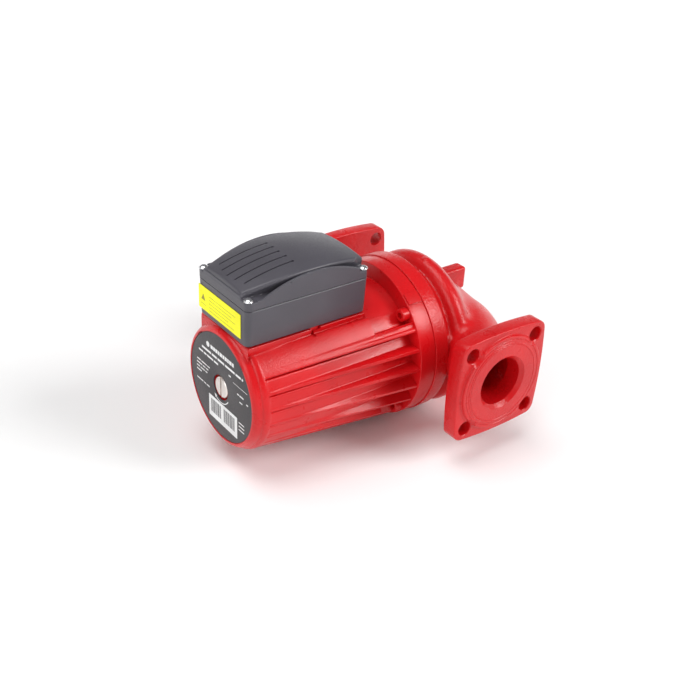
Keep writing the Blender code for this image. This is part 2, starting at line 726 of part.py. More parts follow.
def terminal_places():
    start = -TERMINAL_PITCH * (TERMINAL_COUNT - 1) / 2
    return [start + TERMINAL_PITCH * i for i in range(TERMINAL_COUNT)]


def terminal_block():
    half = TERMINAL_PITCH * TERMINAL_COUNT / 2 + 1
    body = block("terminal_block", (TERMINAL_X - 11, -half, BOX_FLOOR + GAP),
                 (TERMINAL_X + 11, half, TERMINAL_TOP), GREY)
    cut(body, block("wire_step", (TERMINAL_X + 4, -half - 2, 76), (TERMINAL_X + 14, half + 2, 90)))
    for y in terminal_places():
        cut(body, cylinder("terminal_well", 3.4, 74, 90, axis="Z", centre=(TERMINAL_X - 3, y, 0),
                           sides=12),
            block("wire_mouth", (TERMINAL_X + 1, y - 2.6, 69.5), (TERMINAL_X + 14, y + 2.6, 73.5)))
    return body


def terminal_screws():
    for number, y in enumerate(terminal_places(), 1):
        name = "terminal_screw_%d" % number
        screw = cylinder(name, 2.9, 74 + GAP, 79.5, BRASS, axis="Z",
                         centre=(TERMINAL_X - 3, y, 0))
        cut(screw, block(name + "_slot", (TERMINAL_X - 7, y - 0.5, 78.3),
                         (TERMINAL_X + 1, y + 0.5, 81)))


CAPACITOR = (0.0, -14.0, 84.5)   # a point on its axis
CAPACITOR_R = 13.5


def capacitor():
    return turned("capacitor", [(-222, 0), (-222, 12.0), (-220.5, CAPACITOR_R),
                                (-165.5, CAPACITOR_R), (-164, 12.0), (-164, 0)], GREY,
                  centre=CAPACITOR, steps=16)


def capacitor_clip():
    clip = turned("capacitor_clip", [(-198, CAPACITOR_R + GAP), (-198, CAPACITOR_R + 1.6),
                                     (-186, CAPACITOR_R + 1.6), (-186, CAPACITOR_R + GAP)],
                  STAINLESS, centre=CAPACITOR, steps=16)
    return join(clip, block("clip_foot", (-198, -24, BOX_FLOOR + GAP), (-186, -4, 70.6)))


# ---------------------------------------------------------------- motor and rotor

def casing_bolt(number, angle):
    _, y, z = polar(0, BOLT_CIRCLE_R, angle)
    seat = MOTOR_FLANGE_X - GAP
    head = seat - BOLT_HEAD_LEN
    name = "casing_bolt_%d" % number
    bolt = turned(name, [(head, 0), (head, BOLT_HEAD_R - 0.8), (head + 0.8, BOLT_HEAD_R),
                         (seat, BOLT_HEAD_R), (seat, BOLT_SHANK_R), (BOLT_END_X - 1, BOLT_SHANK_R),
                         (BOLT_END_X, BOLT_SHANK_R - 1), (BOLT_END_X, 0)], RED,
                  centre=(0, y, z), steps=14)
    return cut(bolt, cylinder(name + "_socket", 3.6, head - 2, head + 4.5, centre=(0, y, z),
                              sides=6))


def round_ring(name, x, middle_r, wire_r, spec, steps=24):
    """Ring with a round section, such as an O-ring."""
    sides = 6
    profile = [(x + wire_r * math.cos(2 * math.pi * i / sides),
                middle_r + wire_r * math.sin(2 * math.pi * i / sides)) for i in range(sides)]
    return turned(name, profile, spec, steps=steps)


def sleeve(name, start, end, inner, outer, spec, steps=24):
    """Plain tube on the motor axis."""
    return turned(name, [(start, inner), (start, outer), (end, outer), (end, inner)], spec,
                  steps=steps)


def winding_head(name, start, end):
    return turned(name, [(start, 40), (start, 52), (start + 4, 56), (end, 56), (end, 36),
                         (start + 4, 36)], COPPER)


def rotor_can():
    inner = CAN_R - CAN_WALL
    return turned("rotor_can", [
        (-218.7, 7.0), (-218.7, 15.4), (-200.8, 15.4), (-200.8, CAN_R), (-57.7, CAN_R),
        (-57.7, 61.9), (-56.9, 61.9), (-56.9, inner), (-200.0, inner), (-200.0, 14.6),
        (-217.9, 14.6), (-217.9, 7.0)], STAINLESS)


def bearing_plate():
    """Deep dished plate that carries the front bearing and closes the impeller chamber."""
    return turned("bearing_plate", [
        (-36, 14.6), (-36, 19), (-14, 19), (-14, 51), (-56.6, 51), (-56.6, 61.9), (-50.5, 61.9),
        (-50.5, 56.5), (-7.5, 56.5), (-7.5, 14.6)], STAINLESS)


def shaft():
    return turned("shaft", [(-215, 0), (-215, 7.2), (-214.2, SHAFT_R), (-4, SHAFT_R),
                            (-4, SHAFT_NOSE_R), (25, SHAFT_NOSE_R), (25, 5.0), (33.5, 5.0),
                            (33.5, 0)], STAINLESS, steps=18)


def impeller_vane(number, count):
    """Backward-curved blade between the two shrouds."""
    inner_r = 28.0
    steps = 4
    half = 1.3
    sweep = 70.0
    outline = []
    for side in (1, -1):
        order = range(steps + 1) if side > 0 else range(steps, -1, -1)
        for i in order:
            share = i / steps
            radius = inner_r + (IMPELLER_R - 0.4 - inner_r) * share
            angle = math.radians(360 * number / count + sweep * share ** 0.85) + side * half / radius
            outline.append((radius * math.cos(angle), radius * math.sin(angle)))
    return slab("vane", outline, 2.5, 13.5, axis="X")


def impeller():
    body = turned("impeller", [(-3, 6.3), (-3, 11), (0, 14), (0, IMPELLER_R), (3.5, IMPELLER_R),
                               (4.5, 30), (9, 13), (20, 10.5), (20, 6.3)], BRASS, steps=24)
    shroud = turned("front_shroud", [(12.5, IMPELLER_R), (14.5, IMPELLER_R), (16.5, 32.5),
                                     (22, 27.4), (30, 27.4), (30, EYE_R), (20, EYE_R),
                                     (12.5, 31)], steps=24)
    vane_count = 6
    for number in range(vane_count):
        join(body, impeller_vane(number, vane_count))
    return join(body, shroud)


def impeller_nut():
    nut = cylinder("impeller_nut", 8.6, 20.4, 27.0, BRASS, sides=6)
    return cut(nut, turned("nut_bore", [(18, 0), (18, 6.4), (25.3, 6.4), (25.3, 5.4), (29, 5.4),
                                        (29, 0)], steps=16))


def inner_pieces():
    sleeve("stator_core", -190, -95, 34.0, 58.0, LAMINATION, steps=32)
    winding_head("winding_head_rear", -213, -190.4)
    winding_head("winding_head_front", -94.6, -70)
    rotor_can()
    round_ring("can_o_ring", -48.9, 60.6, 1.3, RUBBER)
    round_ring("casing_o_ring", -36.0, 67.0, 1.5, RUBBER)
    bearing_plate()
    sleeve("rear_bearing", -217.4, -203, 8.3, 14.2, CARBON, steps=20)
    sleeve("front_bearing", -35.5, -8, 8.3, 14.2, CARBON, steps=20)
    sleeve("thrust_ring", -44, -36.5, 8.3, 14.0, CERAMIC, steps=20)
    sleeve("rotor_core", -188, -97, 8.3, 32.3, STAINLESS, steps=28)
    shaft()
    impeller()
    impeller_nut()
    sleeve("wear_ring", 24.0, 30.2, 27.8, 31.2, BRASS, steps=28)


def main():
    clear_scene()
    pump_casing()
    motor_housing()
    for number, angle in enumerate(BOLT_ANGLES, 1):
        casing_bolt(number, angle)
    nameplate()
    vent_plug()
    vent_plug_seal()
    vent_boss()
    terminal_box_base()
    terminal_box_cover()
    cover_gasket()
    box_seal()
    box_fasteners()
    warning_label()
    cable_gland()
    blanking_plug()
    terminal_block()
    terminal_screws()
    capacitor()
    capacitor_clip()
    inner_pieces()


main()
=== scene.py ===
"""Looks of an in-line circulator pump: red casing and ribbed motor, dark terminal box, labels.

Lengths below are millimetres unless a comment says metres, in the CAD's frame: X along the motor
axis towards the pump, Y along the pipe, Z up. Angles go round X from +Y towards +Z, in degrees.
"""

import math
from itertools import product

import bmesh
import bpy
import numpy as np
from mathutils import Matrix, Vector


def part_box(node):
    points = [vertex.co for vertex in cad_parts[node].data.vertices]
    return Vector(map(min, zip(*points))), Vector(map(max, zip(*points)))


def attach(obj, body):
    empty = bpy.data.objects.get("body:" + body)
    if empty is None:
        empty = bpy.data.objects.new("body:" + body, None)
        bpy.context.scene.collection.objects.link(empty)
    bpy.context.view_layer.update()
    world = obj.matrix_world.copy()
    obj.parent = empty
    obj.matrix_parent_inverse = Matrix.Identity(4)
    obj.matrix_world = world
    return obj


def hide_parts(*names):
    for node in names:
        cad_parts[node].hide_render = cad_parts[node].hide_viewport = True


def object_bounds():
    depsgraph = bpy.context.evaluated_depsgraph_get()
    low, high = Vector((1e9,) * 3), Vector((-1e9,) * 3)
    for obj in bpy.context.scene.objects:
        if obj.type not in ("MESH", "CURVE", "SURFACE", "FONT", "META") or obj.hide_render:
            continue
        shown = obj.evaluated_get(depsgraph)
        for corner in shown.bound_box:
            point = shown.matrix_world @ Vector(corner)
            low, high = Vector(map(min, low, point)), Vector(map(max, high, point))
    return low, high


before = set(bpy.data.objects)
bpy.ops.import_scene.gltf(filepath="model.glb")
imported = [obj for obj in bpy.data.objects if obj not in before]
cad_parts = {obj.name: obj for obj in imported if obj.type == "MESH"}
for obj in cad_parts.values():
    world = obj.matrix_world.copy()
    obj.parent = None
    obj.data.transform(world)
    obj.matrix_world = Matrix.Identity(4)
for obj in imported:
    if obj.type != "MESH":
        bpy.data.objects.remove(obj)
CAD_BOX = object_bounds()
MM = 0.001


def node_box(name):
    """Lowest and highest corner of a CAD node in millimetres."""
    low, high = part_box(name)
    return low / MM, high / MM


PUMP = "pump"
COVER = "box_cover"

# Places read from the frame
CASING_HIGH = node_box("pump_casing")[1]
HOUSING_HIGH = node_box("motor_housing")[1]
PLATE_LOW, PLATE_HIGH = node_box("nameplate")
BASE_LOW, BASE_HIGH = node_box("terminal_box_base")
COVER_LOW, COVER_HIGH = node_box("terminal_box_cover")
LABEL_LOW, LABEL_HIGH = node_box("warning_label")
PLUG_LOW, PLUG_HIGH = node_box("vent_plug")

FACE_Y = CASING_HIGH.y                    # sealing faces at + and - this
FLANGE_Y = FACE_Y - 3.7                   # flat of the flanges
FLANGE_THICK = 16.5
FLANGE_HALF = 54.4
FLANGE_BULGE = 2.2
FLANGE_CORNER = 11.0
PORT_R = 25.5
RAISED_R = 51.0
FLANGE_BOLT = 41.2                        # bolt holes at + and - this, along X and Z
FLANGE_BOLT_R = 7.8

JOINT_X = HOUSING_HIGH.x + 0.15           # plane between motor and pump
RING_START = -56.5                        # front of the motor's bolting ring
MOTOR_RING_R = 83.0
CASING_RING_R = 84.0
BOLT_CIRCLE_R = 75.0
BOLT_ANGLES = (45.0, 135.0, 225.0, 315.0)

RIB_START_X = -222.0
RIB_END_X = RING_START
PEDESTAL_X = (-231.5, -99.2)
PEDESTAL_HALF = 41.8
PEDESTAL_TOP = 61.5


# ---------------------------------------------------------------- mesh helpers

def shaded(mesh, smooth_angle=35.0):
    """The mesh, shaded smooth except at edges sharper than an angle."""
    mesh.shade_smooth()
    mesh.set_sharp_from_angle(angle=math.radians(smooth_angle))
    return mesh


def mesh_from(points, faces, smooth_angle=35.0):
    """Mesh from points in millimetres, its faces turned outwards."""
    mesh = bpy.data.meshes.new("mesh")
    mesh.from_pydata([(x * MM, y * MM, z * MM) for x, y, z in points], [], faces)
    bm = bmesh.new()
    bm.from_mesh(mesh)
    bmesh.ops.recalc_face_normals(bm, faces=bm.faces)
    bm.to_mesh(mesh)
    bm.free()
    return shaded(mesh, smooth_angle)


def linked(name, data):
    """New object in the scene around a mesh, a light or a camera."""
    obj = bpy.data.objects.new(name, data)
    bpy.context.scene.collection.objects.link(obj)
    return obj


def piece(name, mesh, finish, replaces=(), body=PUMP):
    """Show a mesh as a piece of the object that moves with a body, in its finish's slot."""
    mesh.name = name
    mesh.materials.clear()
    mesh.materials.append(finish)
    obj = linked(name, mesh)
    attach(obj, body)
    if replaces:
        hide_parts(*replaces)


def turned(name, corners, finish, replaces=(), rounding=4, **shape):
    """Piece turned from (along, radius, fillet) corners."""
    piece(name, lathe(fillet(corners, rounding), **shape), finish, replaces)


def boolean(mesh, tools, operation="DIFFERENCE", smooth_angle=35.0):
    """Mesh after exact booleans with other meshes."""
    target = linked("target", mesh)
    helpers = [linked("tool", tool) for tool in tools]
    for helper in helpers:
        modifier = target.modifiers.new("cut", "BOOLEAN")
        modifier.operation = operation
        modifier.solver = "EXACT"
        modifier.object = helper
    bpy.context.view_layer.update()
    depsgraph = bpy.context.evaluated_depsgraph_get()
    result = bpy.data.meshes.new_from_object(target.evaluated_get(depsgraph))
    for obj in (target, *helpers):
        bpy.data.objects.remove(obj, do_unlink=True)
    return shaded(result, smooth_angle)


def rings_mesh(rings, closed_loop=False, smooth_angle=35.0):
    """Skin over rings with equal point counts; capped at both ends unless it loops."""
    count = len(rings[0])
    points = [p for ring in rings for p in ring]
    faces, total = [], len(rings)
    for r in range(total if closed_loop else total - 1):
        a = r * count
        b = ((r + 1) % total) * count
        for i in range(count):
            j = (i + 1) % count
            faces.append((a + i, a + j, b + j, b + i))
    if not closed_loop:
        faces.append(tuple(range(count)))
        faces.append(tuple((total - 1) * count + i for i in range(count)))
    return mesh_from(points, faces, smooth_angle)


def arc(start, corner, end, steps):
    """Points along a curve from start to end that bends round a corner."""
    shares = [s / steps for s in range(steps + 1)]
    return [tuple(start * (1 - t) ** 2 + corner * 2 * t * (1 - t) + end * t * t) for t in shares]


def fillet(corners, steps=4):
    """Open polyline through (u, v, radius) corners, each corner rounded in equal steps."""
    result = []
    for i, (u, v, radius) in enumerate(corners):
        here = np.array((u, v))
        if i in (0, len(corners) - 1):
            result.append(tuple(here))
            continue
        before = np.array(corners[i - 1][:2]) - here
        after = np.array(corners[i + 1][:2]) - here
        length_before, length_after = np.linalg.norm(before), np.linalg.norm(after)
        if radius <= 0 or min(length_before, length_after) < 1e-6:
            result.append(tuple(here))
            continue
        before, after = before / length_before, after / length_after
        cosine = float(np.clip(before @ after, -1, 1))
        half = math.acos(cosine) / 2
        if half > math.radians(89.5):
            result.append(tuple(here))
            continue
        reach = min(radius / math.tan(half), 0.45 * length_before, 0.45 * length_after)
        result += arc(here + before * reach, here, here + after * reach, steps)
    return result


def lathe(profile, axis="X", centre=(0, 0, 0), steps=96, smooth_angle=30.0):
    """Turned mesh from (along, radius) pairs, closed as a ring or on the axis."""
    turns = np.radians(np.arange(steps) * 360 / steps)
    on_axis = [r < 1e-6 for _, r in profile]
    points, faces, rows = [], [], []
    for (along, radius), flat in zip(profile, on_axis):
        if flat:
            rows.append([len(points)])
            points.append((along, 0, 0))
        else:
            rows.append(list(range(len(points), len(points) + steps)))
            points += [(along, radius * math.cos(t), radius * math.sin(t)) for t in turns]
    pairs = list(zip(rows, rows[1:]))
    if not any(on_axis):
        pairs.append((rows[-1], rows[0]))
    for a, b in pairs:
        for i in range(steps):
            j = (i + 1) % steps
            if len(a) == 1 and len(b) == 1:
                break
            if len(a) == 1:
                faces.append((a[0], b[j], b[i]))
            elif len(b) == 1:
                faces.append((a[i], a[j], b[0]))
            else:
                faces.append((a[i], a[j], b[j], b[i]))
    cx, cy, cz = centre
    if axis == "X":
        points = [(x + cx, y + cy, z + cz) for x, y, z in points]
    elif axis == "Y":
        points = [(z + cx, x + cy, y + cz) for x, y, z in points]
    else:
        points = [(y + cx, z + cy, x + cz) for x, y, z in points]
    return mesh_from(points, faces, smooth_angle)


def prism(outline, low, high, axis="Z", bevel=0.0):
    """Flat outline made thick; its two rims are rounded when bevel is set."""
    outline = np.array(outline, float)
    levels = [(low, 0.0), (high, 0.0)]
    if bevel:
        turns = [math.radians(a) for a in (0, 30, 60, 90)]
        levels = [(low + bevel * (1 - math.sin(a)), bevel * (1 - math.cos(a))) for a in reversed(turns)]
        levels += [(high - bevel * (1 - math.sin(a)), bevel * (1 - math.cos(a))) for a in turns]
    normals = outline_normals(outline)
    rings = []
    for level, inset in levels:
        ring = outline - normals * inset
        if axis == "Z":
            rings.append([(u, v, level) for u, v in ring])
        elif axis == "Y":
            rings.append([(u, level, v) for u, v in ring])
        else:
            rings.append([(level, u, v) for u, v in ring])
    return rings_mesh(rings)


def outline_normals(outline):
    """Outward unit normals of a closed outline, whichever way round it runs."""
    before = outline - np.roll(outline, 1, axis=0)
    after = np.roll(outline, -1, axis=0) - outline
    tangent = before / np.maximum(np.linalg.norm(before, axis=1, keepdims=True), 1e-9)
    tangent = tangent + after / np.maximum(np.linalg.norm(after, axis=1, keepdims=True), 1e-9)
    tangent /= np.maximum(np.linalg.norm(tangent, axis=1, keepdims=True), 1e-9)
    normal = np.stack([tangent[:, 1], -tangent[:, 0]], axis=1)
    area = np.sum(outline[:, 0] * np.roll(outline[:, 1], -1) - np.roll(outline[:, 0], -1) * outline[:, 1])
    return normal if area > 0 else -normal


def rounded_rectangle(u_range, v_range, radius, corner_steps=6):
    points = []
    (u0, u1), (v0, v1) = u_range, v_range
    centres = ((u1 - radius, v1 - radius), (u0 + radius, v1 - radius),
               (u0 + radius, v0 + radius), (u1 - radius, v0 + radius))
    for quarter, (cu, cv) in enumerate(centres):
        for step in range(corner_steps + 1):
            angle = math.radians(90 * quarter + 90 * step / corner_steps)
            points.append((cu + radius * math.cos(angle), cv + radius * math.sin(angle)))
    return points


def circle(u, v, radius, steps=24, start=0.0):
    return [(u + radius * math.cos(start + 2 * math.pi * i / steps),
             v + radius * math.sin(start + 2 * math.pi * i / steps)) for i in range(steps)]


def polar(x, radius, degrees):
    angle = math.radians(degrees)
    return (x, radius * math.cos(angle), radius * math.sin(angle))


def joined(meshes):
    """One mesh from several that don't overlap."""
    bm = bmesh.new()
    for mesh in meshes:
        bm.from_mesh(mesh)
    result = bpy.data.meshes.new("mesh")
    bm.to_mesh(result)
    bm.free()
    return shaded(result)


# ---------------------------------------------------------------- materials

class Nodes:
    """Small helper that builds a material's node tree."""

    def __init__(self, name, roughness, metallic=0.0, **sockets):
        self.material = bpy.data.materials.new(name)
        self.material.use_nodes = True
        self.tree = self.material.node_tree
        self.shader = self.tree.nodes["Principled BSDF"]
        self.fill(self.shader, Roughness=roughness, Metallic=metallic, **sockets)
        self.coordinates = self.node("TexCoord").outputs["Object"]

    def fill(self, node, **sockets):
        """Set a node's sockets to numbers, or link them to the outputs of other nodes."""
        for name, value in sockets.items():
            socket = node.inputs[name.replace("_", " ")]
            if isinstance(value, bpy.types.NodeSocket):
                self.tree.links.new(value, socket)
            else:
                socket.default_value = value

    def node(self, kind, **sockets):
        node = self.tree.nodes.new("ShaderNode" + kind)
        self.fill(node, **sockets)
        return node

    def noise(self, scale, detail=3.0, roughness=0.5, stretch=(1, 1, 1)):
        """Noise with features about 1000 / scale millimetres across."""
        vector = self.node("Mapping", Scale=stretch, Vector=self.coordinates).outputs["Vector"]
        return self.node("TexNoise", Scale=scale, Detail=detail, Roughness=roughness,
                         Vector=vector).outputs["Fac"]

    def colour(self, factor, stops):
        """Colour the surface by a ramp between two (position, colour) stops."""
        node = self.node("ValToRGB", Fac=factor)
        for element, (position, colour) in zip(node.color_ramp.elements, stops):
            element.position = position
            element.color = (*colour, 1.0)
        self.fill(self.shader, Base_Color=node.outputs["Color"])

    def roughness(self, factor, low, high):
        node = self.node("MapRange", Value=factor, From_Min=0.3, From_Max=0.7, To_Min=low, To_Max=high)
        self.fill(self.shader, Roughness=node.outputs["Result"])

    def bump(self, *layers):
        """Stack bumps given as (height output, distance in millimetres, strength)."""
        below = {}
        for height, distance, strength in layers:
            node = self.node("Bump", Height=height, Distance=distance * MM, Strength=strength, **below)
            below = {"Normal": node.outputs["Normal"]}
        self.fill(self.shader, Coat_Normal=below["Normal"], **below)


def shades(colour, low, high):
    """Two stops for a ramp: the colour darkened, and the colour lightened."""
    return [(0.3, [c * low for c in colour]), (0.7, [min(1.0, c * high) for c in colour])]


def enamel(name, colour, grain, depth):
    """Glossy enamel: broad unevenness, orange peel, and the casting's grain under it."""
    nodes = Nodes(name, 0.3, Specular_IOR_Level=0.22, Coat_Weight=0.32, Coat_Roughness=0.16)
    nodes.colour(nodes.noise(22, 3), shades(colour, 0.88, 1.08))
    nodes.roughness(nodes.noise(60, 4), 0.25, 0.38)
    nodes.bump((nodes.noise(45, 2), 0.5, 0.12), (nodes.noise(grain, 3, 0.55), depth, 0.8))
    return nodes.material


def plastic(name, colour, roughness=0.42):
    """Moulded plastic with a fine spark-eroded grain."""
    nodes = Nodes(name, roughness)
    nodes.colour(nodes.noise(30, 4), shades(colour, 0.92, 1.08))
    nodes.roughness(nodes.noise(500, 3), roughness - 0.05, roughness + 0.07)
    nodes.bump((nodes.noise(1500, 2), 0.06, 0.35))
    return nodes.material


def metal(name, colour, roughness, stretch=(1, 1, 1), scale=400):
    """Machined or plated metal with fine tool marks along one direction."""
    nodes = Nodes(name, roughness, 1.0)
    nodes.colour(nodes.noise(90, 3), shades(colour, 0.9, 1.06))
    nodes.roughness(nodes.noise(scale, 3, 0.6, stretch), roughness * 0.75, roughness * 1.3)
    nodes.bump((nodes.noise(scale * 2, 2, 0.5, stretch), 0.03, 0.25))
    return nodes.material


def soft(name, colour, roughness=0.8):
    nodes = Nodes(name, roughness)
    nodes.colour(nodes.noise(200, 3), shades(colour, 0.8, 1.15))
    nodes.roughness(nodes.noise(300, 3), roughness - 0.1, roughness + 0.08)
    nodes.bump((nodes.noise(800, 3), 0.05, 0.4))
    return nodes.material


RED = (0.60, 0.005, 0.008)
CAST = enamel("red_cast_enamel", RED, 480, 0.5)
HOUSING = enamel("red_housing_enamel", RED, 700, 0.2)
BOLT = enamel("red_bolt_enamel", RED, 300, 0.05)
BOX = plastic("dark_grey_plastic", (0.070, 0.066, 0.080), 0.36)
GREY = plastic("grey_plastic", (0.42, 0.43, 0.45), 0.5)
BLOCK = plastic("terminal_plastic", (0.72, 0.71, 0.66), 0.45)
PLATE = plastic("plate_black", (0.030, 0.026, 0.030), 0.34)
PRINT = plastic("plate_white_print", (0.80, 0.80, 0.80), 0.5)
LABEL = plastic("label_yellow", (0.98, 0.92, 0.0), 0.55)
LABEL_INK = plastic("label_ink", (0.30, 0.27, 0.02), 0.5)
SCREW = metal("zinc_plated_steel", (0.78, 0.78, 0.80), 0.22)
NICKEL = metal("nickel_plated", (0.84, 0.78, 0.74), 0.34, (1, 1, 6))
BRASS = metal("turned_brass", (0.78, 0.58, 0.26), 0.3, (6, 1, 1))
STAINLESS = metal("drawn_stainless", (0.62, 0.62, 0.63), 0.26, (0.4, 6, 6))
LAMINATION = metal("stacked_sheets", (0.30, 0.30, 0.33), 0.45, (40, 1, 1), 60)
COPPER = metal("enamelled_copper", (0.72, 0.27, 0.10), 0.32, (1, 8, 8), 200)
RUBBER = soft("black_rubber", (0.018, 0.018, 0.02))
CARBON = soft("carbon_graphite", (0.035, 0.035, 0.04), 0.45)
CERAMIC = soft("ceramic", (0.82, 0.80, 0.74), 0.25)


# ---------------------------------------------------------------- motor housing

RIBS = 8                                  # on each side
FIRST_RIB = 148.3                         # angle of the first rib's lower edge, at the bell
RIB_PITCH = 14.3
RIB_BAND = 2.3                            # angle that a rib's crest takes up
RIB_STEP = 0.87                           # how far the panels come back up at the bell
ARC_POINTS = 6                            # points on each panel
TOP_POINTS = 14                           # points on half the top
BOLT_POCKET_R = 67.0                      # floor of the bolt pocket, from the axis
BOLT_POCKET_WALL = 142.0                  # angle of its lower wall
STATOR_R = 58.3
PLATE_SEAT_R = 55.9


def bell_radius(x):
    """Outer radius of the rounded front end, between the nameplate and the ribs."""
    profile = ((-236.3, 57.4), (-236.0, 58.3), (-234.6, 60.0), (-232.4, 61.4), (-229.4, 62.4),
               (-228.4, 62.6), (-228.0, 63.5), (-225.6, 65.0), (-222.0, 65.6))
    return float(np.interp(x, [p[0] for p in profile], [p[1] for p in profile]))


def crest_radius(x):
    """Radius of the ribs' crests, which grows towards the ring."""
    return 66.6 + 0.095 * (x + 208)


def valley_radius(x):
    """Radius at the bottom of the grooves between the ribs."""
    share = (x - RIB_START_X) / (RIB_END_X - RIB_START_X)
    return 62.0 + 4.6 * share


def rib_edge(number, share):
    """Angle of a rib's lower edge; share runs from 0 at the bell to 1 at the ring."""
    return FIRST_RIB + RIB_PITCH * number + share * (1.7 + 0.3 * number)


def housing_corners(x, groove, pocket, raised):
    """Half section at x, from the top down the near side, as (y, z, fillet) corners.

    groove is how deep the valleys are, pocket whether the bolt pocket is open, raised how far
    the pedestal stands up, each from 0 to 1.
    """
    share = min(1.0, max(0.0, (x - RIB_START_X) / (RIB_END_X - RIB_START_X)))
    crest = crest_radius(x) if x > RIB_START_X else bell_radius(x)
    valley = crest + (valley_radius(x) - crest) * groove

    def at(angle, radius, rounding):
        _, y, z = polar(0, radius, angle)
        return (y, z, rounding)

    corners = []
    top_radius = valley if groove > 0 else crest
    for i in range(TOP_POINTS):
        y = -(PEDESTAL_HALF - 1.2) * i / (TOP_POINTS - 1)
        round_z = math.sqrt(top_radius ** 2 - y * y)
        corners.append((y, round_z + (PEDESTAL_TOP - round_z) * raised, 0.0))
    start = 127.0 + 3.0 * share
    round_z = math.sqrt(top_radius ** 2 - PEDESTAL_HALF ** 2)
    corners.append((-PEDESTAL_HALF, round_z + (PEDESTAL_TOP - round_z) * raised, 1.2))
    floor = BOLT_POCKET_R if pocket else crest
    foot_y, foot_z = -40.3, 54.4 + 2.2 * share
    circle_y, circle_z, _ = at(start - 1.2, floor, 0)
    corners.append((circle_y + (foot_y - circle_y) * raised,
                    circle_z + (foot_z - circle_z) * raised, 1.2))
    corners.append(at(start, floor, 1.0))
    for i in range(1, ARC_POINTS):
        corners.append(at(start + (BOLT_POCKET_WALL - start) * i / ARC_POINTS, floor, 0))
    corners.append(at(BOLT_POCKET_WALL, floor, 2.0))
    corners.append(at(BOLT_POCKET_WALL + (0.6 if pocket else 1.0), crest, 1.2))
    previous = BOLT_POCKET_WALL + 1.0
    dip = crest - 1.85 * share * share * groove
    depth = crest - valley
    at_groove = RIB_STEP * (1 - share)
    at_flank = 0.05 + 0.1 * share
    for number in range(RIBS):
        lower = rib_edge(number, share)
        upper = rib_edge(number + 1, share) - RIB_BAND
        for i in range(1, ARC_POINTS):
            corners.append(at(previous + (lower - previous) * i / ARC_POINTS,
                              dip if number == 0 and i < ARC_POINTS - 2 else crest, 0))
        corners.append(at(lower, crest, 0.6))
        corners.append(at(lower + 0.4 + 0.7 * share, valley, 0.5 + 1.1 * share))
        corners.append(at(lower + 1.6, valley + at_groove * depth, 0.5))
        flank = upper - 0.9 - 1.9 * share
        for i in range(1, ARC_POINTS):
            t = i / ARC_POINTS
            rise = (at_groove + at_flank * t * t) * depth
            corners.append(at(lower + 1.7 + (flank - lower - 1.7) * t, valley + rise, 0))
        corners.append(at(flank, valley + (at_groove + at_flank) * depth, 2.2))
        corners.append(at(upper, crest, 0.6))
        previous = upper
    for i in range(1, ARC_POINTS + 1):
        corners.append(at(previous + (270 - previous) * i / ARC_POINTS, crest, 0))
    return corners


def housing_ring(x, groove=1.0, pocket=False, raised=0.0):
    """Whole ring at x: the near half and its mirror image."""
    half = fillet_all(housing_corners(x, groove, pocket, raised))
    ring = [(x, y, z) for y, z in half]
    ring += [(x, -y, z) for y, z in reversed(half[1:-1])]
    return ring


def fillet_all(corners):
    """As fillet, but the number of points doesn't depend on the angles of the corners."""
    result = []
    for i, (u, v, radius) in enumerate(corners):
        here = np.array((u, v))
        if i in (0, len(corners) - 1) or radius <= 0:
            result.append((u, v))
            continue
        before = np.array(corners[i - 1][:2]) - here
        after = np.array(corners[i + 1][:2]) - here
        length_before = max(np.linalg.norm(before), 1e-6)
        length_after = max(np.linalg.norm(after), 1e-6)
        reach = min(radius, 0.42 * length_before, 0.42 * length_after)
        start, end = here + before / length_before * reach, here + after / length_after * reach
        result += arc(start, here, end, 3)
    return result


def housing_stations():
    """(x, groove, pocket, raised) along the barrel, close together where the shape changes."""
    stations = [(x, 0.0, False, 0.0) for x in (-236.3, -236.15, -235.6, -234.8, -233.8, -232.7)]
    front, back = PEDESTAL_X
    stations.append((front - 0.1, 0.0, False, 0.0))
    for offset, raised in ((0.0, 0.72), (0.3, 0.86), (0.8, 0.95), (1.5, 1.0)):
        stations.append((front + offset, 0.0, False, raised))
    stations += [(x, 0.0, False, 1.0) for x in (-229.0, -228.4, -228.1, -227.9, -226.5, -225.0, -223.2)]
    for offset, groove in ((0.0, 0.0), (0.4, 0.35), (0.9, 0.7), (1.6, 0.92), (2.4, 1.0)):
        stations.append((RIB_START_X + 0.2 + offset, groove, False, 1.0))
    for i in range(1, 24):
        stations.append((RIB_START_X + 2.6 + (-101.0 - RIB_START_X - 2.6) * i / 24, 1.0, False, 1.0))
    stations += [(-101.2, 1.0, False, 1.0), (-100.9, 1.0, True, 1.0), (back - 1.2, 1.0, True, 1.0)]
    for offset, raised in ((-0.6, 0.9), (-0.2, 0.7), (0.0, 0.4), (0.1, 0.0)):
        stations.append((back + offset, 1.0, True, raised))
    for i in range(1, 9):
        stations.append((back + (RIB_END_X + 0.5 - back) * i / 8, 1.0, True, 0.0))
    return stations


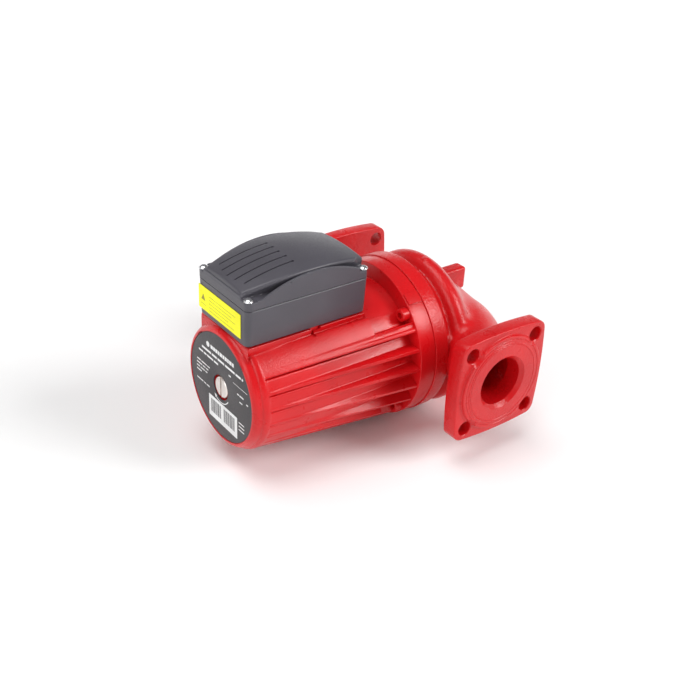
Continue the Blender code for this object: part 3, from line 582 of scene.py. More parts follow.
def motor_housing():
    """Barrel with its end bell, ribs, bolt pockets and pedestal, bored right through."""
    rings = [housing_ring(*station) for station in housing_stations()]
    angles = [math.atan2(z, y) for _, y, z in rings[0]]
    inner = ((JOINT_X - 0.6, 66.0), (JOINT_X - 0.6, 62.3), (-58, 62.3), (-58, STATOR_R),
             (-226, STATOR_R), (-226, 12.6), (-234.7, 12.6), (-234.7, PLATE_SEAT_R),
             (PLATE_LOW.x - 0.3, PLATE_SEAT_R))
    for x, radius in inner:
        rings.append([(x, radius * math.cos(a), radius * math.sin(a)) for a in angles])
    mesh = rings_mesh(rings, closed_loop=True, smooth_angle=32)
    mesh = boolean(mesh, [notch_cutter(), lower_pocket(225), lower_pocket(315)], smooth_angle=32)
    piece("motor_housing_skin", mesh, HOUSING, ("motor_housing",))
    corners = [(RING_START, 63.0, 0), (RING_START, MOTOR_RING_R - 0.4, 0.9),
               (JOINT_X - 0.15, MOTOR_RING_R, 0.5), (JOINT_X - 0.15, 63.0, 0)]
    turned("motor_bolting_ring", corners, HOUSING, rounding=3, steps=160)
    piece("ring_pads", joined([ring_pad(angle) for angle in (127, 53)]), HOUSING)


def ring_pad(angle):
    """Low pad on the motor ring's rim, where the two rings are lined up."""
    outline = [polar(0, MOTOR_RING_R + 1.1, angle - 4 + step)[1:] for step in range(9)]
    outline += [polar(0, MOTOR_RING_R - 3, angle + 4 - step)[1:] for step in range(9)]
    return prism(outline, RING_START + 1.5, JOINT_X - 0.6, axis="X", bevel=0.5)


def notch_cutter():
    """Drain notch in the pedestal's near wall: a short slot under a wider head."""
    outline = [(-162.2, 54.6), (-158.6, 54.6), (-158.6, 58.2), (-151.5, 59.6), (-151.5, 66),
               (-162.2, 66)]
    return prism(outline, -48, -38.6, axis="Y")


def lower_pocket(angle):
    """Round pocket for the head of a lower bolt."""
    _, y, z = polar(0, BOLT_CIRCLE_R + 1.5, angle)
    corners = [(-84, 0, 0), (-84, 9.5, 3), (RING_START - 0.1, 9.5, 0), (RING_START - 0.1, 0, 0)]
    return lathe(fillet(corners, 4), centre=(0, y, z), steps=40)


motor_housing()


# ---------------------------------------------------------------- cast shapes as distance fields

def smooth_min(a, b, blend):
    """Union of two fields with a fillet about as wide as blend."""
    share = np.clip(0.5 + 0.5 * (b - a) / blend, 0, 1)
    return b + (a - b) * share - blend * share * (1 - share)


def smooth_max(a, b, blend):
    return -smooth_min(-a, -b, blend)


def spline(rows, steps):
    """Catmull-Rom curve through rows of numbers."""
    rows = np.array(rows, float)
    padded = np.vstack([2 * rows[0] - rows[1], rows, 2 * rows[-1] - rows[-2]])
    result = []
    for i in range(1, len(rows)):
        a, b, c, d = padded[i - 1:i + 3]
        for s in range(steps):
            t = s / steps
            result.append(0.5 * (2 * b + (c - a) * t + (2 * a - 5 * b + 4 * c - d) * t ** 2
                                 + (3 * b - a - 3 * c + d) * t ** 3))
    result.append(rows[-1])
    return np.array(result, np.float32)


def tube_field(p, rows):
    """Distance to a swept tube; rows hold a centre, its half width and its half height along Z."""
    x, y, z = p
    best = np.full(x.shape, 1e3, np.float32)
    path = spline(rows, 4)
    for a, b in zip(path, path[1:]):
        step = b - a
        px, py, pz = x - a[0], y - a[1], z - a[2]
        t = np.clip((px * step[0] + py * step[1] + pz * step[2]) / float(step[:3] @ step[:3]), 0, 1)
        wide = a[3] + t * step[3]
        squash = wide / (a[4] + t * step[4])
        away = np.sqrt((px - t * step[0]) ** 2 + (py - t * step[1]) ** 2
                       + ((pz - t * step[2]) * squash) ** 2)
        best = np.minimum(best, away - wide)
    return best


def profile_field(x, radius, profile):
    """Distance to a turned solid below a polyline of (x, radius)."""
    best = np.full(x.shape, 1e6, np.float32)
    for (x0, r0), (x1, r1) in zip(profile, profile[1:]):
        dx, dr = x1 - x0, r1 - r0
        px, pr = x - x0, radius - r0
        t = np.clip((px * dx + pr * dr) / (dx * dx + dr * dr), 0, 1)
        best = np.minimum(best, (px - t * dx) ** 2 + (pr - t * dr) ** 2)
    outline = np.interp(x, [c[0] for c in profile], [c[1] for c in profile], left=0, right=0)
    return np.sqrt(best) * np.where(radius < outline, -1, 1)


def block_field(p, low, high, rounding):
    """Distance to a block with rounded edges."""
    centre, half = (np.array(low) + high) / 2, (np.array(high) - low) / 2 - rounding
    q = [np.abs(c - m) - h for c, m, h in zip(p, centre, half)]
    outside = np.sqrt(sum(np.maximum(v, 0) ** 2 for v in q))
    return outside + np.minimum(np.maximum(np.maximum(q[0], q[1]), q[2]), 0) - rounding


def surface_net(field, low, high, cell):
    """Mesh of a field's zero surface, its points pulled onto the surface."""
    axes = [np.arange(a, b + cell, cell, dtype=np.float32) for a, b in zip(low, high)]
    values = field(*np.meshgrid(*axes, indexing="ij"))
    inside = values < 0
    shape = [n - 1 for n in values.shape]
    index = np.stack(np.meshgrid(*[np.arange(n, dtype=np.float32) for n in shape], indexing="ij"))
    total = np.zeros((3, *shape), np.float32)
    count = np.zeros(shape, np.float32)
    for axis in range(3):
        for corner in product(*[(0,) if a == axis else (0, 1) for a in range(3)]):
            near = [slice(start, n + start) for start, n in zip(corner, shape)]
            far = list(near)
            far[axis] = slice(1, shape[axis] + 1)
            near, far = tuple(near), tuple(far)
            crossing = inside[near] != inside[far]
            difference = values[near] - values[far]
            share = values[near] / np.where(difference == 0, 1, difference)
            for k in range(3):
                move = share if k == axis else corner[k]
                total[k] += np.where(crossing, index[k] + move, 0)
            count += crossing
    active = count > 0
    number = np.full(shape, -1, np.int64)
    number[active] = np.arange(int(active.sum()))
    spots = [total[k][active] / count[active] * cell + axes[k][0] for k in range(3)]
    spots = pulled_on(field, spots, cell)
    quads = []
    for axis in range(3):
        b, c = (axis + 1) % 3, (axis + 2) % 3
        near = [slice(1, n) for n in shape]
        near[axis] = slice(0, shape[axis])
        far = list(near)
        far[axis] = slice(1, shape[axis] + 1)
        first, second = inside[tuple(near)], inside[tuple(far)]
        corners = []
        for db, dc in ((0, 0), (1, 0), (1, 1), (0, 1)):
            part = list(near)
            part[b] = slice(1 - db, shape[b] - db)
            part[c] = slice(1 - dc, shape[c] - dc)
            corners.append(number[tuple(part)])
        for mask, order in ((~first & second, (0, 1, 2, 3)), (first & ~second, (3, 2, 1, 0))):
            quads.append(np.stack([corners[o][mask] for o in order], axis=1))
    mesh = bpy.data.meshes.new("mesh")
    mesh.from_pydata((np.stack(spots, axis=1) * MM).tolist(), [], np.concatenate(quads).tolist())
    return shaded(mesh, 50.0)


def pulled_on(field, spots, cell):
    """Points moved onto the zero surface along the field's slope."""
    step = np.float32(0.15)
    for _ in range(3):
        here = field(*spots)
        slope = []
        for axis in range(3):
            moved = list(spots)
            moved[axis] = moved[axis] + step
            slope.append((field(*moved) - here) / step)
        square = np.maximum(sum(s * s for s in slope), 0.3)
        reach = np.clip(here / square, -0.45 * cell, 0.45 * cell)
        spots = [p - s * reach for p, s in zip(spots, slope)]
    return spots


# ---------------------------------------------------------------- pump casing

CHAMBER_R = 58.4
VOLUTE = ((-30, 76, 0), (-24, 76, 0), (-15, 75, 0), (-11.5, 73.2, 0), (-9.4, 72.4, 0.1),
          (-7.7, 73.8, 0.3), (-6, 76.4, 0.5), (-3.5, 78.7, 0.7), (0, 79.9, 0.8), (3.5, 80.1, 0.8),
          (7, 79.4, 0.8), (11, 77, 0.8), (15, 73.3, 0.8), (19, 68.6, 0.7), (25, 62, 0.6),
          (32, 55, 0.6), (45, 42, 0.3), (58, 28, 0), (58.6, 0, 0))
CHANNEL = ((-7.2, 0), (-7, 56), (-5, 64), (1, 69.5), (9, 69), (16, 62), (16.2, 0))
CHANNEL_GROWTH = ((-7, 0), (-5, 0.7), (1, 0.9), (9, 0.9), (16, 0.8))
CHAMBER = ((-60, CHAMBER_R), (17.5, CHAMBER_R), (17.6, 34), (23.5, 34), (23.6, 31.5), (30.5, 31.5),
           (30.6, 26), (42, 26), (42.1, 0))
SUCTION_BEND = ((0, -127, 0, 33, 33), (1.5, -112, 0, 33, 33), (8, -94, 0, 33, 33),
                (18.5, -76, 0, 34, 34), (29, -58, 0, 34.5, 34.5), (36, -40, 0, 35, 34),
                (40, -20, 0, 33, 33), (41, 0, 0, 32, 32), (41, 10, 0, 30, 30))
SUCTION_PASSAGE = ((0, -150, 0, 25.5, 25.5), (0.5, -118, 0, 25.5, 25.5), (6, -104, 0, 25.5, 25.5),
                   (15.5, -92, 0, 22, 26), (28, -76, 0, 20, 27), (37, -60, 0, 20, 27),
                   (41, -45, 0, 20, 26), (43, -22, 0, 20, 25), (43, 0, 0, 20, 24))
DISCHARGE_NECK = ((9, -8, -58, 20, 20), (9, 26, -56, 24, 24), (8, 56, -43, 28, 28),
                  (5, 84, -22, 31, 31), (2, 105, -6, 33, 33), (0, 127, 0, 33, 33))
DISCHARGE_PASSAGE = ((9, -6, -62, 10, 10), (9, 26, -58, 16, 16), (8, 56, -44, 20, 20),
                     (5, 84, -23, 23.5, 23.5), (2, 105, -7, 25.5, 25.5), (0, 120, 0, 25.5, 25.5),
                     (0, 150, 0, 25.5, 25.5))
FOOT_X = (44.0, 82.0)
FOOT_Y = (9.5, 25.0)
FOOT_Z = (16.0, 42.0)
FOOT_THREAD_Y = 17.25
FOOT_THREAD_Z = 30.0
RING_FRONT_X = JOINT_X + 0.15
RING_STEP_X = -21.5
BODY_START_X = -22.0
TONGUE_ANGLE = 30.0                       # where the volute starts to open
OPENING = 315.0                           # angle over which it opens; it closes over the rest
GROWTH_START = -1.0
GROWTH_PER_DEGREE = 0.0353
BORE_START_Y = 110                        # inner end of the cutters for a flange's bore
HOLE_START_Y = 118                        # and for its bolt holes


def volute_growth(turn):
    """How far the volute has opened, from its tongue round to the discharge."""
    past = (turn - TONGUE_ANGLE) % 360
    last = GROWTH_START + GROWTH_PER_DEGREE * OPENING
    opening = GROWTH_START + GROWTH_PER_DEGREE * past
    closing = last + (GROWTH_START - last) * (past - OPENING) / (360 - OPENING)
    return np.where(past <= OPENING, opening, closing)


def casing_field(x, y, z):
    """Volute, bends, flange necks and feet in one skin, hollowed by the water's way."""
    p = (x, y, z)
    radius = np.hypot(y, z)
    growth = volute_growth(np.degrees(np.arctan2(z, y)))
    share = np.interp(x, [c[0] for c in VOLUTE], [c[2] for c in VOLUTE])
    profile = [(c[0], c[1]) for c in spline(VOLUTE, 4)]
    body = profile_field(x, radius - growth * share, profile)
    body = smooth_min(body, tube_field(p, SUCTION_BEND), 9)
    body = smooth_min(body, tube_field(p, DISCHARGE_NECK), 9)
    for side in (-1, 1):
        disc = np.maximum(np.hypot(x, z) - 46, np.abs(y - side * 129.5) - 5)
        body = smooth_min(body, disc, 7)
        near, far = sorted(side * z for z in FOOT_Z)
        foot = block_field(p, (FOOT_X[0], FOOT_Y[0], near), (FOOT_X[1], FOOT_Y[1], far), 3)
        body = smooth_min(body, foot, 5)
    body = smooth_min(body, block_field(p, (50, 10.5, -28), (71, 24, 28), 3), 5)
    hollow = profile_field(x, radius, CHAMBER)
    channel_share = np.interp(x, [c[0] for c in CHANNEL_GROWTH], [c[1] for c in CHANNEL_GROWTH])
    hollow = np.minimum(hollow, profile_field(x, radius - growth * channel_share, CHANNEL))
    hollow = np.minimum(hollow, tube_field(p, SUCTION_PASSAGE))
    hollow = np.minimum(hollow, tube_field(p, DISCHARGE_PASSAGE))
    body = smooth_max(body, -hollow, 1.5)
    mark = block_field(p, (-2, -14, 74), (5, -8, 81.6), 1.5)
    body = smooth_min(body, mark, 1.5)
    for side in (-1, 1):
        thread = np.hypot(y - FOOT_THREAD_Y, z - side * FOOT_THREAD_Z) - 5.0
        body = np.maximum(body, -np.maximum(thread, 66 - x))
    return np.maximum(body, np.minimum(BODY_START_X - x, CASING_RING_R - 3 - radius))


def casing_ring():
    """Machined spigot, sealing groove and the ring that the motor is bolted to."""
    inner, spigot, back = CHAMBER_R, 61.9, -12.0
    corners = [(-47.3, inner, 0), (-47.3, spigot, 0.8), (RING_FRONT_X, spigot, 0),
               (RING_FRONT_X, 65, 0), (-34.2, 65, 0), (-34.2, 69, 0), (RING_FRONT_X, 69, 0),
               (RING_FRONT_X, CASING_RING_R, 0.6), (RING_STEP_X, CASING_RING_R, 2.0),
               (RING_STEP_X + 0.8, CASING_RING_R - 3.4, 1.5), (-17.0, 76.6, 3.0), (back, 73.0, 0),
               (back, inner, 0)]
    turned("casing_ring", corners, CAST, steps=192)


def flange_outline():
    """Square with convex sides and round corners."""
    span = FLANGE_HALF - FLANGE_CORNER
    points = []
    for quarter in range(4):
        turn = math.radians(90 * quarter)
        for i in range(17):
            along = span * (2 * i / 16 - 1)
            out = FLANGE_HALF + FLANGE_BULGE * (1 - (along / span) ** 2)
            points.append((out * math.cos(turn) - along * math.sin(turn),
                           out * math.sin(turn) + along * math.cos(turn)))
        for i in range(1, 10):
            angle = turn + math.radians(9 * i)
            cx = span * (math.cos(turn) - math.sin(turn))
            cz = span * (math.sin(turn) + math.cos(turn))
            points.append((cx + FLANGE_CORNER * math.cos(angle), cz + FLANGE_CORNER * math.sin(angle)))
    return points


def flange_mesh(side):
    """Flange plate with its stepped sealing face, bored and drilled; side is -1 or 1 along Y."""
    near, far = sorted((side * (FLANGE_Y - FLANGE_THICK), side * FLANGE_Y))
    plate = prism(flange_outline(), near, far, axis="Y", bevel=1.3)
    flat, face, step = FLANGE_Y - 3, FACE_Y, FACE_Y - 0.55
    corners = [(flat, 0, 0), (flat, RAISED_R + 3.2, 0), (FLANGE_Y + 0.05, RAISED_R + 3.2, 0),
               (FLANGE_Y + 0.25, RAISED_R + 0.9, 1.2), (FLANGE_Y + 1.2, RAISED_R, 1.0),
               (step, RAISED_R - 0.2, 0.8), (step, 47.8, 0.1), (step - 0.5, 47.3, 0),
               (step, 46.8, 0.1), (step, 44.6, 0), (face, 44.0, 0.3), (face, 42.6, 0),
               (face - 0.4, 42.2, 0), (face, 41.8, 0), (face, 0, 0)]
    profile = [(side * along, radius) for along, radius, *_ in fillet(corners, 3)]
    raised = lathe(profile, axis="Y", steps=128)
    body = boolean(plate, [raised], "UNION")
    bore = [(BORE_START_Y, 0), (BORE_START_Y, PORT_R), (face - 3.9, PORT_R), (face, PORT_R + 3.9),
            (face + 4, PORT_R + 7.9), (face + 4, 0)]
    hole = [(HOLE_START_Y, 0), (HOLE_START_Y, FLANGE_BOLT_R), (FLANGE_Y - 0.7, FLANGE_BOLT_R),
            (FLANGE_Y + 4, FLANGE_BOLT_R + 4.7), (FLANGE_Y + 4, 0)]
    cutters = [lathe([(side * a, r) for a, r in bore], axis="Y", steps=96)]
    for x in (-FLANGE_BOLT, FLANGE_BOLT):
        for z in (-FLANGE_BOLT, FLANGE_BOLT):
            cutters.append(lathe([(side * a, r) for a, r in hole], axis="Y",
                                 centre=(x, 0, z), steps=40))
    return boolean(body, cutters)


def pump_casing():
    body = surface_net(casing_field, (-39, -137, -92), (85, 137, 92), 1.6)
    piece("casing_body", body, CAST, ("pump_casing",))
    casing_ring()
    piece("suction_flange", flange_mesh(-1), CAST)
    piece("discharge_flange", flange_mesh(1), CAST)


pump_casing()


# ---------------------------------------------------------------- terminal box

BOX_X = (BASE_LOW.x, BASE_HIGH.x)
BOX_HALF = 43.8
BOX_FOOT_HALF = 41.8
BOX_CORNER = 6.0
BOX_WALL = 2.8
BOX_RIM = BASE_HIGH.z
BOX_FLOOR = BASE_LOW.z + 3.0
BOX_LEDGE = 98.2
POST_R = 9.3
COVER_BOTTOM = COVER_LOW.z
COVER_TOP = COVER_HIGH.z
POCKET_FLOOR = 108.5                      # of the round pockets for the cover screws
SCREW_POCKET_R = 7.3
COVER_SCREW_X = (-229.0, -103.0)
COVER_SCREW_Y = 39.0
ARCH_X = -160.0                           # crest of the arch
ARCH_TOP = 123.4                          # of the side walls; the dome stands higher
LEDGE_TOP = 111.6                         # at the cover's front
SLOT_Y = (-22.0, -11.0, 0.0, 11.0, 22.0)
SLOT_START_X = (-223.0, -226.5, -228.0, -226.5, -223.0)
SLOT_END_X = (-170.0, -170.5, -171.0, -170.5, -170.0)
SCREW_PLACES = [(x, y) for x in COVER_SCREW_X for y in (-COVER_SCREW_Y, COVER_SCREW_Y)]
BOX_SCREWS = [(x, y) for x in (-215, -118) for y in (-30, 30)]
EARTH_SCREW = (-170, 30)
WIRE_HOLE = (-203, 18)
GLAND_X = -130.0
BLANK_X = -175.0
ENTRY_Z = 82.0
WALL_Y = 43.9                             # outside of the wall with the cable entries


def dome_height(x, y):
    """Height of the arched top over x, y."""
    return COVER_TOP - 0.00241 * (x - ARCH_X) ** 2 - 0.0022 * y * y


def footprint_field(x, y, corner):
    """Distance to the box's outline seen from above."""
    centre, half_x = (BOX_X[0] + BOX_X[1]) / 2, (BOX_X[1] - BOX_X[0]) / 2
    qx, qy = np.abs(x - centre) - (half_x - corner), np.abs(y) - (BOX_HALF - corner)
    return np.hypot(np.maximum(qx, 0), np.maximum(qy, 0)) + np.minimum(np.maximum(qx, qy), 0) - corner


def cover_field(x, y, z):
    """Arched cover: low walls with an arched top, a dome set in from them, and screw pockets."""
    walls = footprint_field(x, y, BOX_CORNER)
    arch = np.clip(ARCH_TOP - 0.0043 * (x - ARCH_X) ** 2, POCKET_FLOOR + 0.8, None)
    rim = smooth_max(smooth_max(walls, z - arch, 0.8), 41.7 - np.abs(y), 0.5)
    floor = smooth_max(walls, z - POCKET_FLOOR, 0.6)
    ledge = smooth_max(smooth_max(walls, z - LEDGE_TOP, 0.8), x + 226, 0.5)
    lower = smooth_min(np.minimum(rim, floor), ledge, 0.8)
    undercut = 0.42 * np.clip(dome_height(x, 0) - 6 - z, 0, 12)
    half = 40.6 - 0.0019 * (x + 163) ** 2 - undercut
    slope_y = smooth_max(np.abs(y) - half, BOX_X[0] + 1.2 - x, 2.5)
    slope_y = np.maximum(slope_y, x - BOX_X[1] + 0.5)
    over = (z - dome_height(x, y)) / np.sqrt(1 + (0.0048 * (x - ARCH_X)) ** 2)
    dome = smooth_max(slope_y, over, 2.6)
    shell = smooth_min(lower, dome, 1.0)
    inside = np.maximum(np.minimum(floor, dome) + BOX_WALL, walls + BOX_WALL)
    gate = np.sqrt((x + 188) ** 2 + (y + BOX_HALF) ** 2 + (z - 118) ** 2) - 0.9
    shell = smooth_max(shell, -gate, 0.3)
    for sx, sy in SCREW_PLACES:
        away = np.hypot(x - sx, y - sy)
        inside = smooth_max(inside, POST_R - away, 1.0)
        pocket = np.maximum(away - SCREW_POCKET_R, POCKET_FLOOR - z)
        shell = smooth_max(shell, -pocket, 1.2)
    shell = np.maximum(shell, -inside)
    for sx, sy in SCREW_PLACES:
        shell = np.maximum(shell, 2.1 - np.hypot(x - sx, y - sy))
    return np.maximum(shell, COVER_BOTTOM - z)


def slot_cutter(y_slot, start, end):
    """Blind slot that follows the dome, narrow along its length and wider at its end."""
    stations = [(start, 0.15), (start + 0.3, 0.6), (start + 0.8, 0.75)]
    stations += [(start + 0.8 + (end - start - 4.0) * i / 24, 0.75) for i in range(1, 25)]
    stations += [(end - 2.6, 1.15), (end - 1.6, 1.4), (end - 0.8, 1.15), (end - 0.2, 0.3)]
    rings = []
    for x, half in stations:
        top = dome_height(x, y_slot)
        rings.append([(x, y_slot - half, top + 6), (x, y_slot - half, top - 2.4),
                      (x, y_slot + half, top - 2.4), (x, y_slot + half, top + 6)])
    return rings_mesh(rings)


def box_ring(half, corner, z, inset=0.0):
    """Level outline of the box's base, half as wide as given along Y."""
    outline = rounded_rectangle((BOX_X[0] + inset, BOX_X[1] - inset), (inset - half, half - inset),
                                corner, 8)
    return [(u, v, z) for u, v in outline]


def terminal_box():
    cover = surface_net(cover_field, (BOX_X[0] - 1.5, -45.5, COVER_BOTTOM - 1.5),
                        (BOX_X[1] + 1.5, 45.5, COVER_TOP + 1.5), 0.8)
    slots = [slot_cutter(*place) for place in zip(SLOT_Y, SLOT_START_X, SLOT_END_X)]
    cover = boolean(cover, [joined(slots)])
    piece("box_cover_shell", cover, BOX, ("terminal_box_cover",), COVER)
    height = BOX_RIM - BASE_LOW.z
    outer = []
    for z, inset in ((0, 0.8), (0.25, 0.3), (0.8, 0), (height * 0.5, 0), (height - 0.5, 0), (height, 0.4)):
        half = BOX_FOOT_HALF + (BOX_HALF - BOX_FOOT_HALF) * z / height
        outer.append(box_ring(half, BOX_CORNER - inset, BASE_LOW.z + z, inset))
    base = rings_mesh(outer)
    hollow = rings_mesh([box_ring(BOX_FOOT_HALF, 3.5, BOX_FLOOR, BOX_WALL),
                                   box_ring(BOX_HALF, 3.5, BOX_RIM + 2, BOX_WALL)])
    posts = [prism(circle(sx, sy, POST_R, 40), 60, 110) for sx, sy in SCREW_PLACES]
    hollow = boolean(hollow, posts)
    ledge = prism([(u, v) for u, v, _ in box_ring(BOX_HALF, 4.8, 0, 1.2)], BOX_LEDGE, 104)
    cutters = [hollow, ledge]
    cutters += [prism(circle(sx, sy, 2.0, 16), 84, 104) for sx, sy in SCREW_PLACES]
    cutters.append(prism(circle(*WIRE_HOLE, 9, 32), 60, 70))
    cutters += [prism(circle(x, y, 2.6, 20), 60, 70) for x, y in (*BOX_SCREWS, EARTH_SCREW)]
    cutters += [prism(circle(x, ENTRY_Z, 8.3, 40), 36, 50, axis="Y") for x in (GLAND_X, BLANK_X)]
    piece("box_base_shell", boolean(base, cutters), BOX, ("terminal_box_base",))


terminal_box()


# ---------------------------------------------------------------- nameplate, vent plug and label

def flat_marks(outlines, x, thickness=0.08):
    """Printed marks as very thin slabs on a face that looks towards -X; outlines are (y, z)."""
    slabs = [prism(outline, x - thickness, x, axis="X") for outline in outlines]
    return joined(slabs)


def bar(y_start, y_end, z, height):
    """Bar read from left to right, so from +Y to -Y."""
    return [(y_end, z - height / 2), (y_start, z - height / 2), (y_start, z + height / 2),
            (y_end, z + height / 2)]


def broken_bar(y_start, y_end, z, height, word_lengths, gap=1.2):
    """Row of bars in place of words, repeated until the row is full."""
    outlines, y, i = [], y_start, 0
    while y > y_end + 1:
        stop = max(y_end, y - word_lengths[i % len(word_lengths)])
        outlines.append(bar(y, stop, z, height))
        y, i = stop - gap, i + 1
    return outlines


def arc_band(radius, z_centre, start, end, width):
    """Outline of a curved band, such as the shaft of a turning arrow."""
    angles = [math.radians(start + (end - start) * i / 24) for i in range(25)]
    rims = ((radius + width / 2, angles), (radius - width / 2, angles[::-1]))
    return [(r * math.cos(a), z_centre + r * math.sin(a)) for r, turns in rims for a in turns]


def plate_marks():
    """Generic print: rows of bars for text, a turning arrow and a striped box."""
    marks = [circle(22.5, 37.0, 2.9, 24)]
    for row in ((17.5, -26, 36.8, 4.0, (4.2, 3.1, 3.8, 2.6), 0.8),
                (33.9, -40.5, 29.4, 2.3, (17, 9, 12), 1.6), (40, 4, 23.6, 1.9, (8, 5, 11), 1.4),
                (44, 20, 11.4, 1.2, (7, 10)), (44.5, 23, 7.4, 1.2, (10, 5)),
                (45, 25, 3.4, 1.2, (6, 8)), (45, 36, -0.6, 1.2, (9,)),
                (45, 21, -10.6, 1.2, (12, 4, 6))):
        marks += broken_bar(*row)
    marks += [bar(-15, -19, 22, 1.4), bar(-23, -47.7, 18.2, 0.45)]
    marks += broken_bar(-30, -42.3, 9.6, 1.4, (3, 7))
    marks += [bar(-34, -39, 2.6, 1.3), bar(-46, -49, 6.2, 1.3)]
    marks.append(arc_band(15.6, -1.2, -55, -150, 0.9))
    marks.append([(11.4, -11.8), (7.0, -12.9), (9.5, -16.2)])
    return marks + [bar(-32.5, -42, z, 1.1) for z in (-21, -25, -29)]


def stripes():
    """Dark bars of two striped fields, their widths from a repeating pattern."""
    outlines = []
    for y_start, y_end in ((18.5, -1.5), (-5.0, -26.0)):
        y, i = y_start, 0
        while y > y_end + 1.2:
            width = (0.5, 1.1, 0.4, 0.8, 1.4)[i % 5]
            outlines.append(bar(y, y - width, -29.0, 15.0))
            y, i = y - width - (0.6, 0.9, 0.5)[i % 3], i + 1
    return outlines


def nameplate():
    front, back, outer, inner = PLATE_LOW.x, PLATE_HIGH.x, PLATE_HIGH.y, 13.0
    corners = [(back, inner, 0), (front, inner, 0.3), (front, outer, 0.4), (back, outer, 0)]
    turned("nameplate_disc", corners, PLATE, ("nameplate",), rounding=3, steps=144)
    piece("plate_marks", flat_marks(plate_marks(), front), PRINT)
    box = rounded_rectangle((-29.5, 22.5), (-42.3, -18.0), 0.6, 3)
    piece("plate_box", flat_marks([box], front), PRINT)
    piece("plate_stripes", flat_marks(stripes(), front - 0.08, 0.06), PLATE)


def vent_plug():
    """Slotted plug, its sleeve and its washer, which rides on the body between them."""
    front, back = PLUG_LOW.x, PLUG_HIGH.x
    head_back, head, shank = front + 2.8, 10.8, 5.9
    corners = [(front, 0, 0), (front, head - 0.9, 0.8), (front + 0.9, head, 0.4), (head_back, head, 0.2),
               (head_back, shank, 0.2)]
    profile = fillet(corners, 4)
    threads = 7
    pitch = (back - head_back - 2.0) / threads
    for i in range(threads):
        start = head_back + 0.6 + i * pitch
        profile += [(start, shank - 0.7), (start + pitch * 0.5, shank)]
    profile += [(back - 0.8, shank - 0.7), (back, shank - 1.5), (back, 0)]
    slot = prism([(-1.1, -13), (1.1, -13), (1.1, 13), (-1.1, 13)], front - 1, front + 1.6, axis="X")
    mesh = boolean(lathe(profile, steps=72), [slot])
    piece("vent_plug_metal", mesh, NICKEL, ("vent_plug",), "vent_plug")
    boss = [(-231, 6.3, 0), (-231, 12.2, 0.5), (-219, 12.2, 0), (-219, 6.3, 0)]
    turned("vent_boss_turned", boss, BRASS, ("vent_boss",), rounding=3, steps=64)
    ring = [(-232.0 + 0.65 * math.cos(a), 8.35 + 2.0 * math.sin(a))
            for a in [2 * math.pi * i / 16 for i in range(16)]]
    piece("vent_seal_ring", lathe(ring, steps=64), RUBBER, ("vent_plug_seal",), "vent_seal")


def label():
    """Plain yellow film with a generic triangle and faint rows, nothing that can be read."""
    outline = rounded_rectangle((LABEL_LOW.y, LABEL_HIGH.y), (LABEL_LOW.z, LABEL_HIGH.z), 0.8, 4)
    film = prism(outline, LABEL_LOW.x, LABEL_HIGH.x, axis="X")
    piece("yellow_film", film, LABEL, ("warning_label",))
    centre_y, centre_z, size = 32.5, 81.5, 4.2
    marks = [[(centre_y + size * math.sin(a), centre_z + size * math.cos(a))
              for a in (0, 2 * math.pi / 3, 4 * math.pi / 3)]]
    for i, end in enumerate((-24, -18, -24, -12, -22)):
        marks.append(bar(22, end, 87.0 - 3.6 * i, 0.35))
    marks.append(bar(37, 28, 75.0, 0.4))
    piece("label_marks", flat_marks(marks, LABEL_LOW.x, 0.05), LABEL_INK)


nameplate()
vent_plug()
label()


# ---------------------------------------------------------------- screws, bolts and cable entries

def cross_recess(x, y, top, reach):
    """Two tapered blades that cut a cross recess."""
    blades = []
    for turn in (0.35, 0.35 + math.pi / 2):
        c, s = math.cos(turn), math.sin(turn)
        rings = []
        for z, length, width in ((top + 0.5, reach, 0.62), (top - 1.9, reach * 0.45, 0.4)):
            corners = ((-length, -width), (length, -width), (length, width), (-length, width))
            rings.append([(x + u * c - v * s, y + u * s + v * c, z) for u, v in corners])
        blades.append(rings_mesh(rings))
    return blades


def screw_mesh(x, y, seat, head, shank, tip):
    """Pan head screw with a washer face and a cross recess, its threaded end a plain shank."""
    height = head * 0.62
    profile = fillet([(tip, 0, 0), (tip + 1.2, shank, 0.3), (seat - 6, shank, 0), (seat - 6, shank * 0.86, 0),
                      (seat + 0.3, shank * 0.86, 0), (seat + 0.3, head + 0.35, 0.15),
                      (seat + 0.8, head + 0.35, 0.15), (seat + 0.8, head, 0.2),
                      (seat + height * 0.55, head, 1.1), (seat + height, head * 0.55, 1.6),
                      (seat + height + 0.15, 0, 0)], 4)
    body = lathe(profile, axis="Z", centre=(x, y, 0), steps=48)
    return boolean(body, cross_recess(x, y, seat + height, head * 0.52))


def bolt_mesh(angle):
    """Socket head screw along X, in the pocket of the motor's ring."""
    _, y, z = polar(0, BOLT_CIRCLE_R, angle)
    profile = fillet([(-64.8, 0, 0), (-64.8, 5.6, 0.5), (-64.0, 6.5, 0.8), (-56.8, 6.5, 0.3), (-56.8, 3.7, 0),
                      (-26.5, 3.7, 0.4), (-26, 0, 0)], 4)
    body = lathe(profile, centre=(0, y, z), steps=48)
    socket = prism(circle(y, z, 3.5, 6, 0.3), -66, -60.5, axis="X")
    return boolean(body, [socket])


def node_place(name):
    """Middle of a CAD node, seen from above."""
    low, high = node_box(name)
    return (low.x + high.x) / 2, (low.y + high.y) / 2


def nearest_node(prefix, x, y):
    """The CAD node of a screw that comes four times, where it stands at x, y."""
    nodes = [prefix + str(number) for number in range(1, 5)]
    return min(nodes, key=lambda node: math.dist(node_place(node), (x, y)))


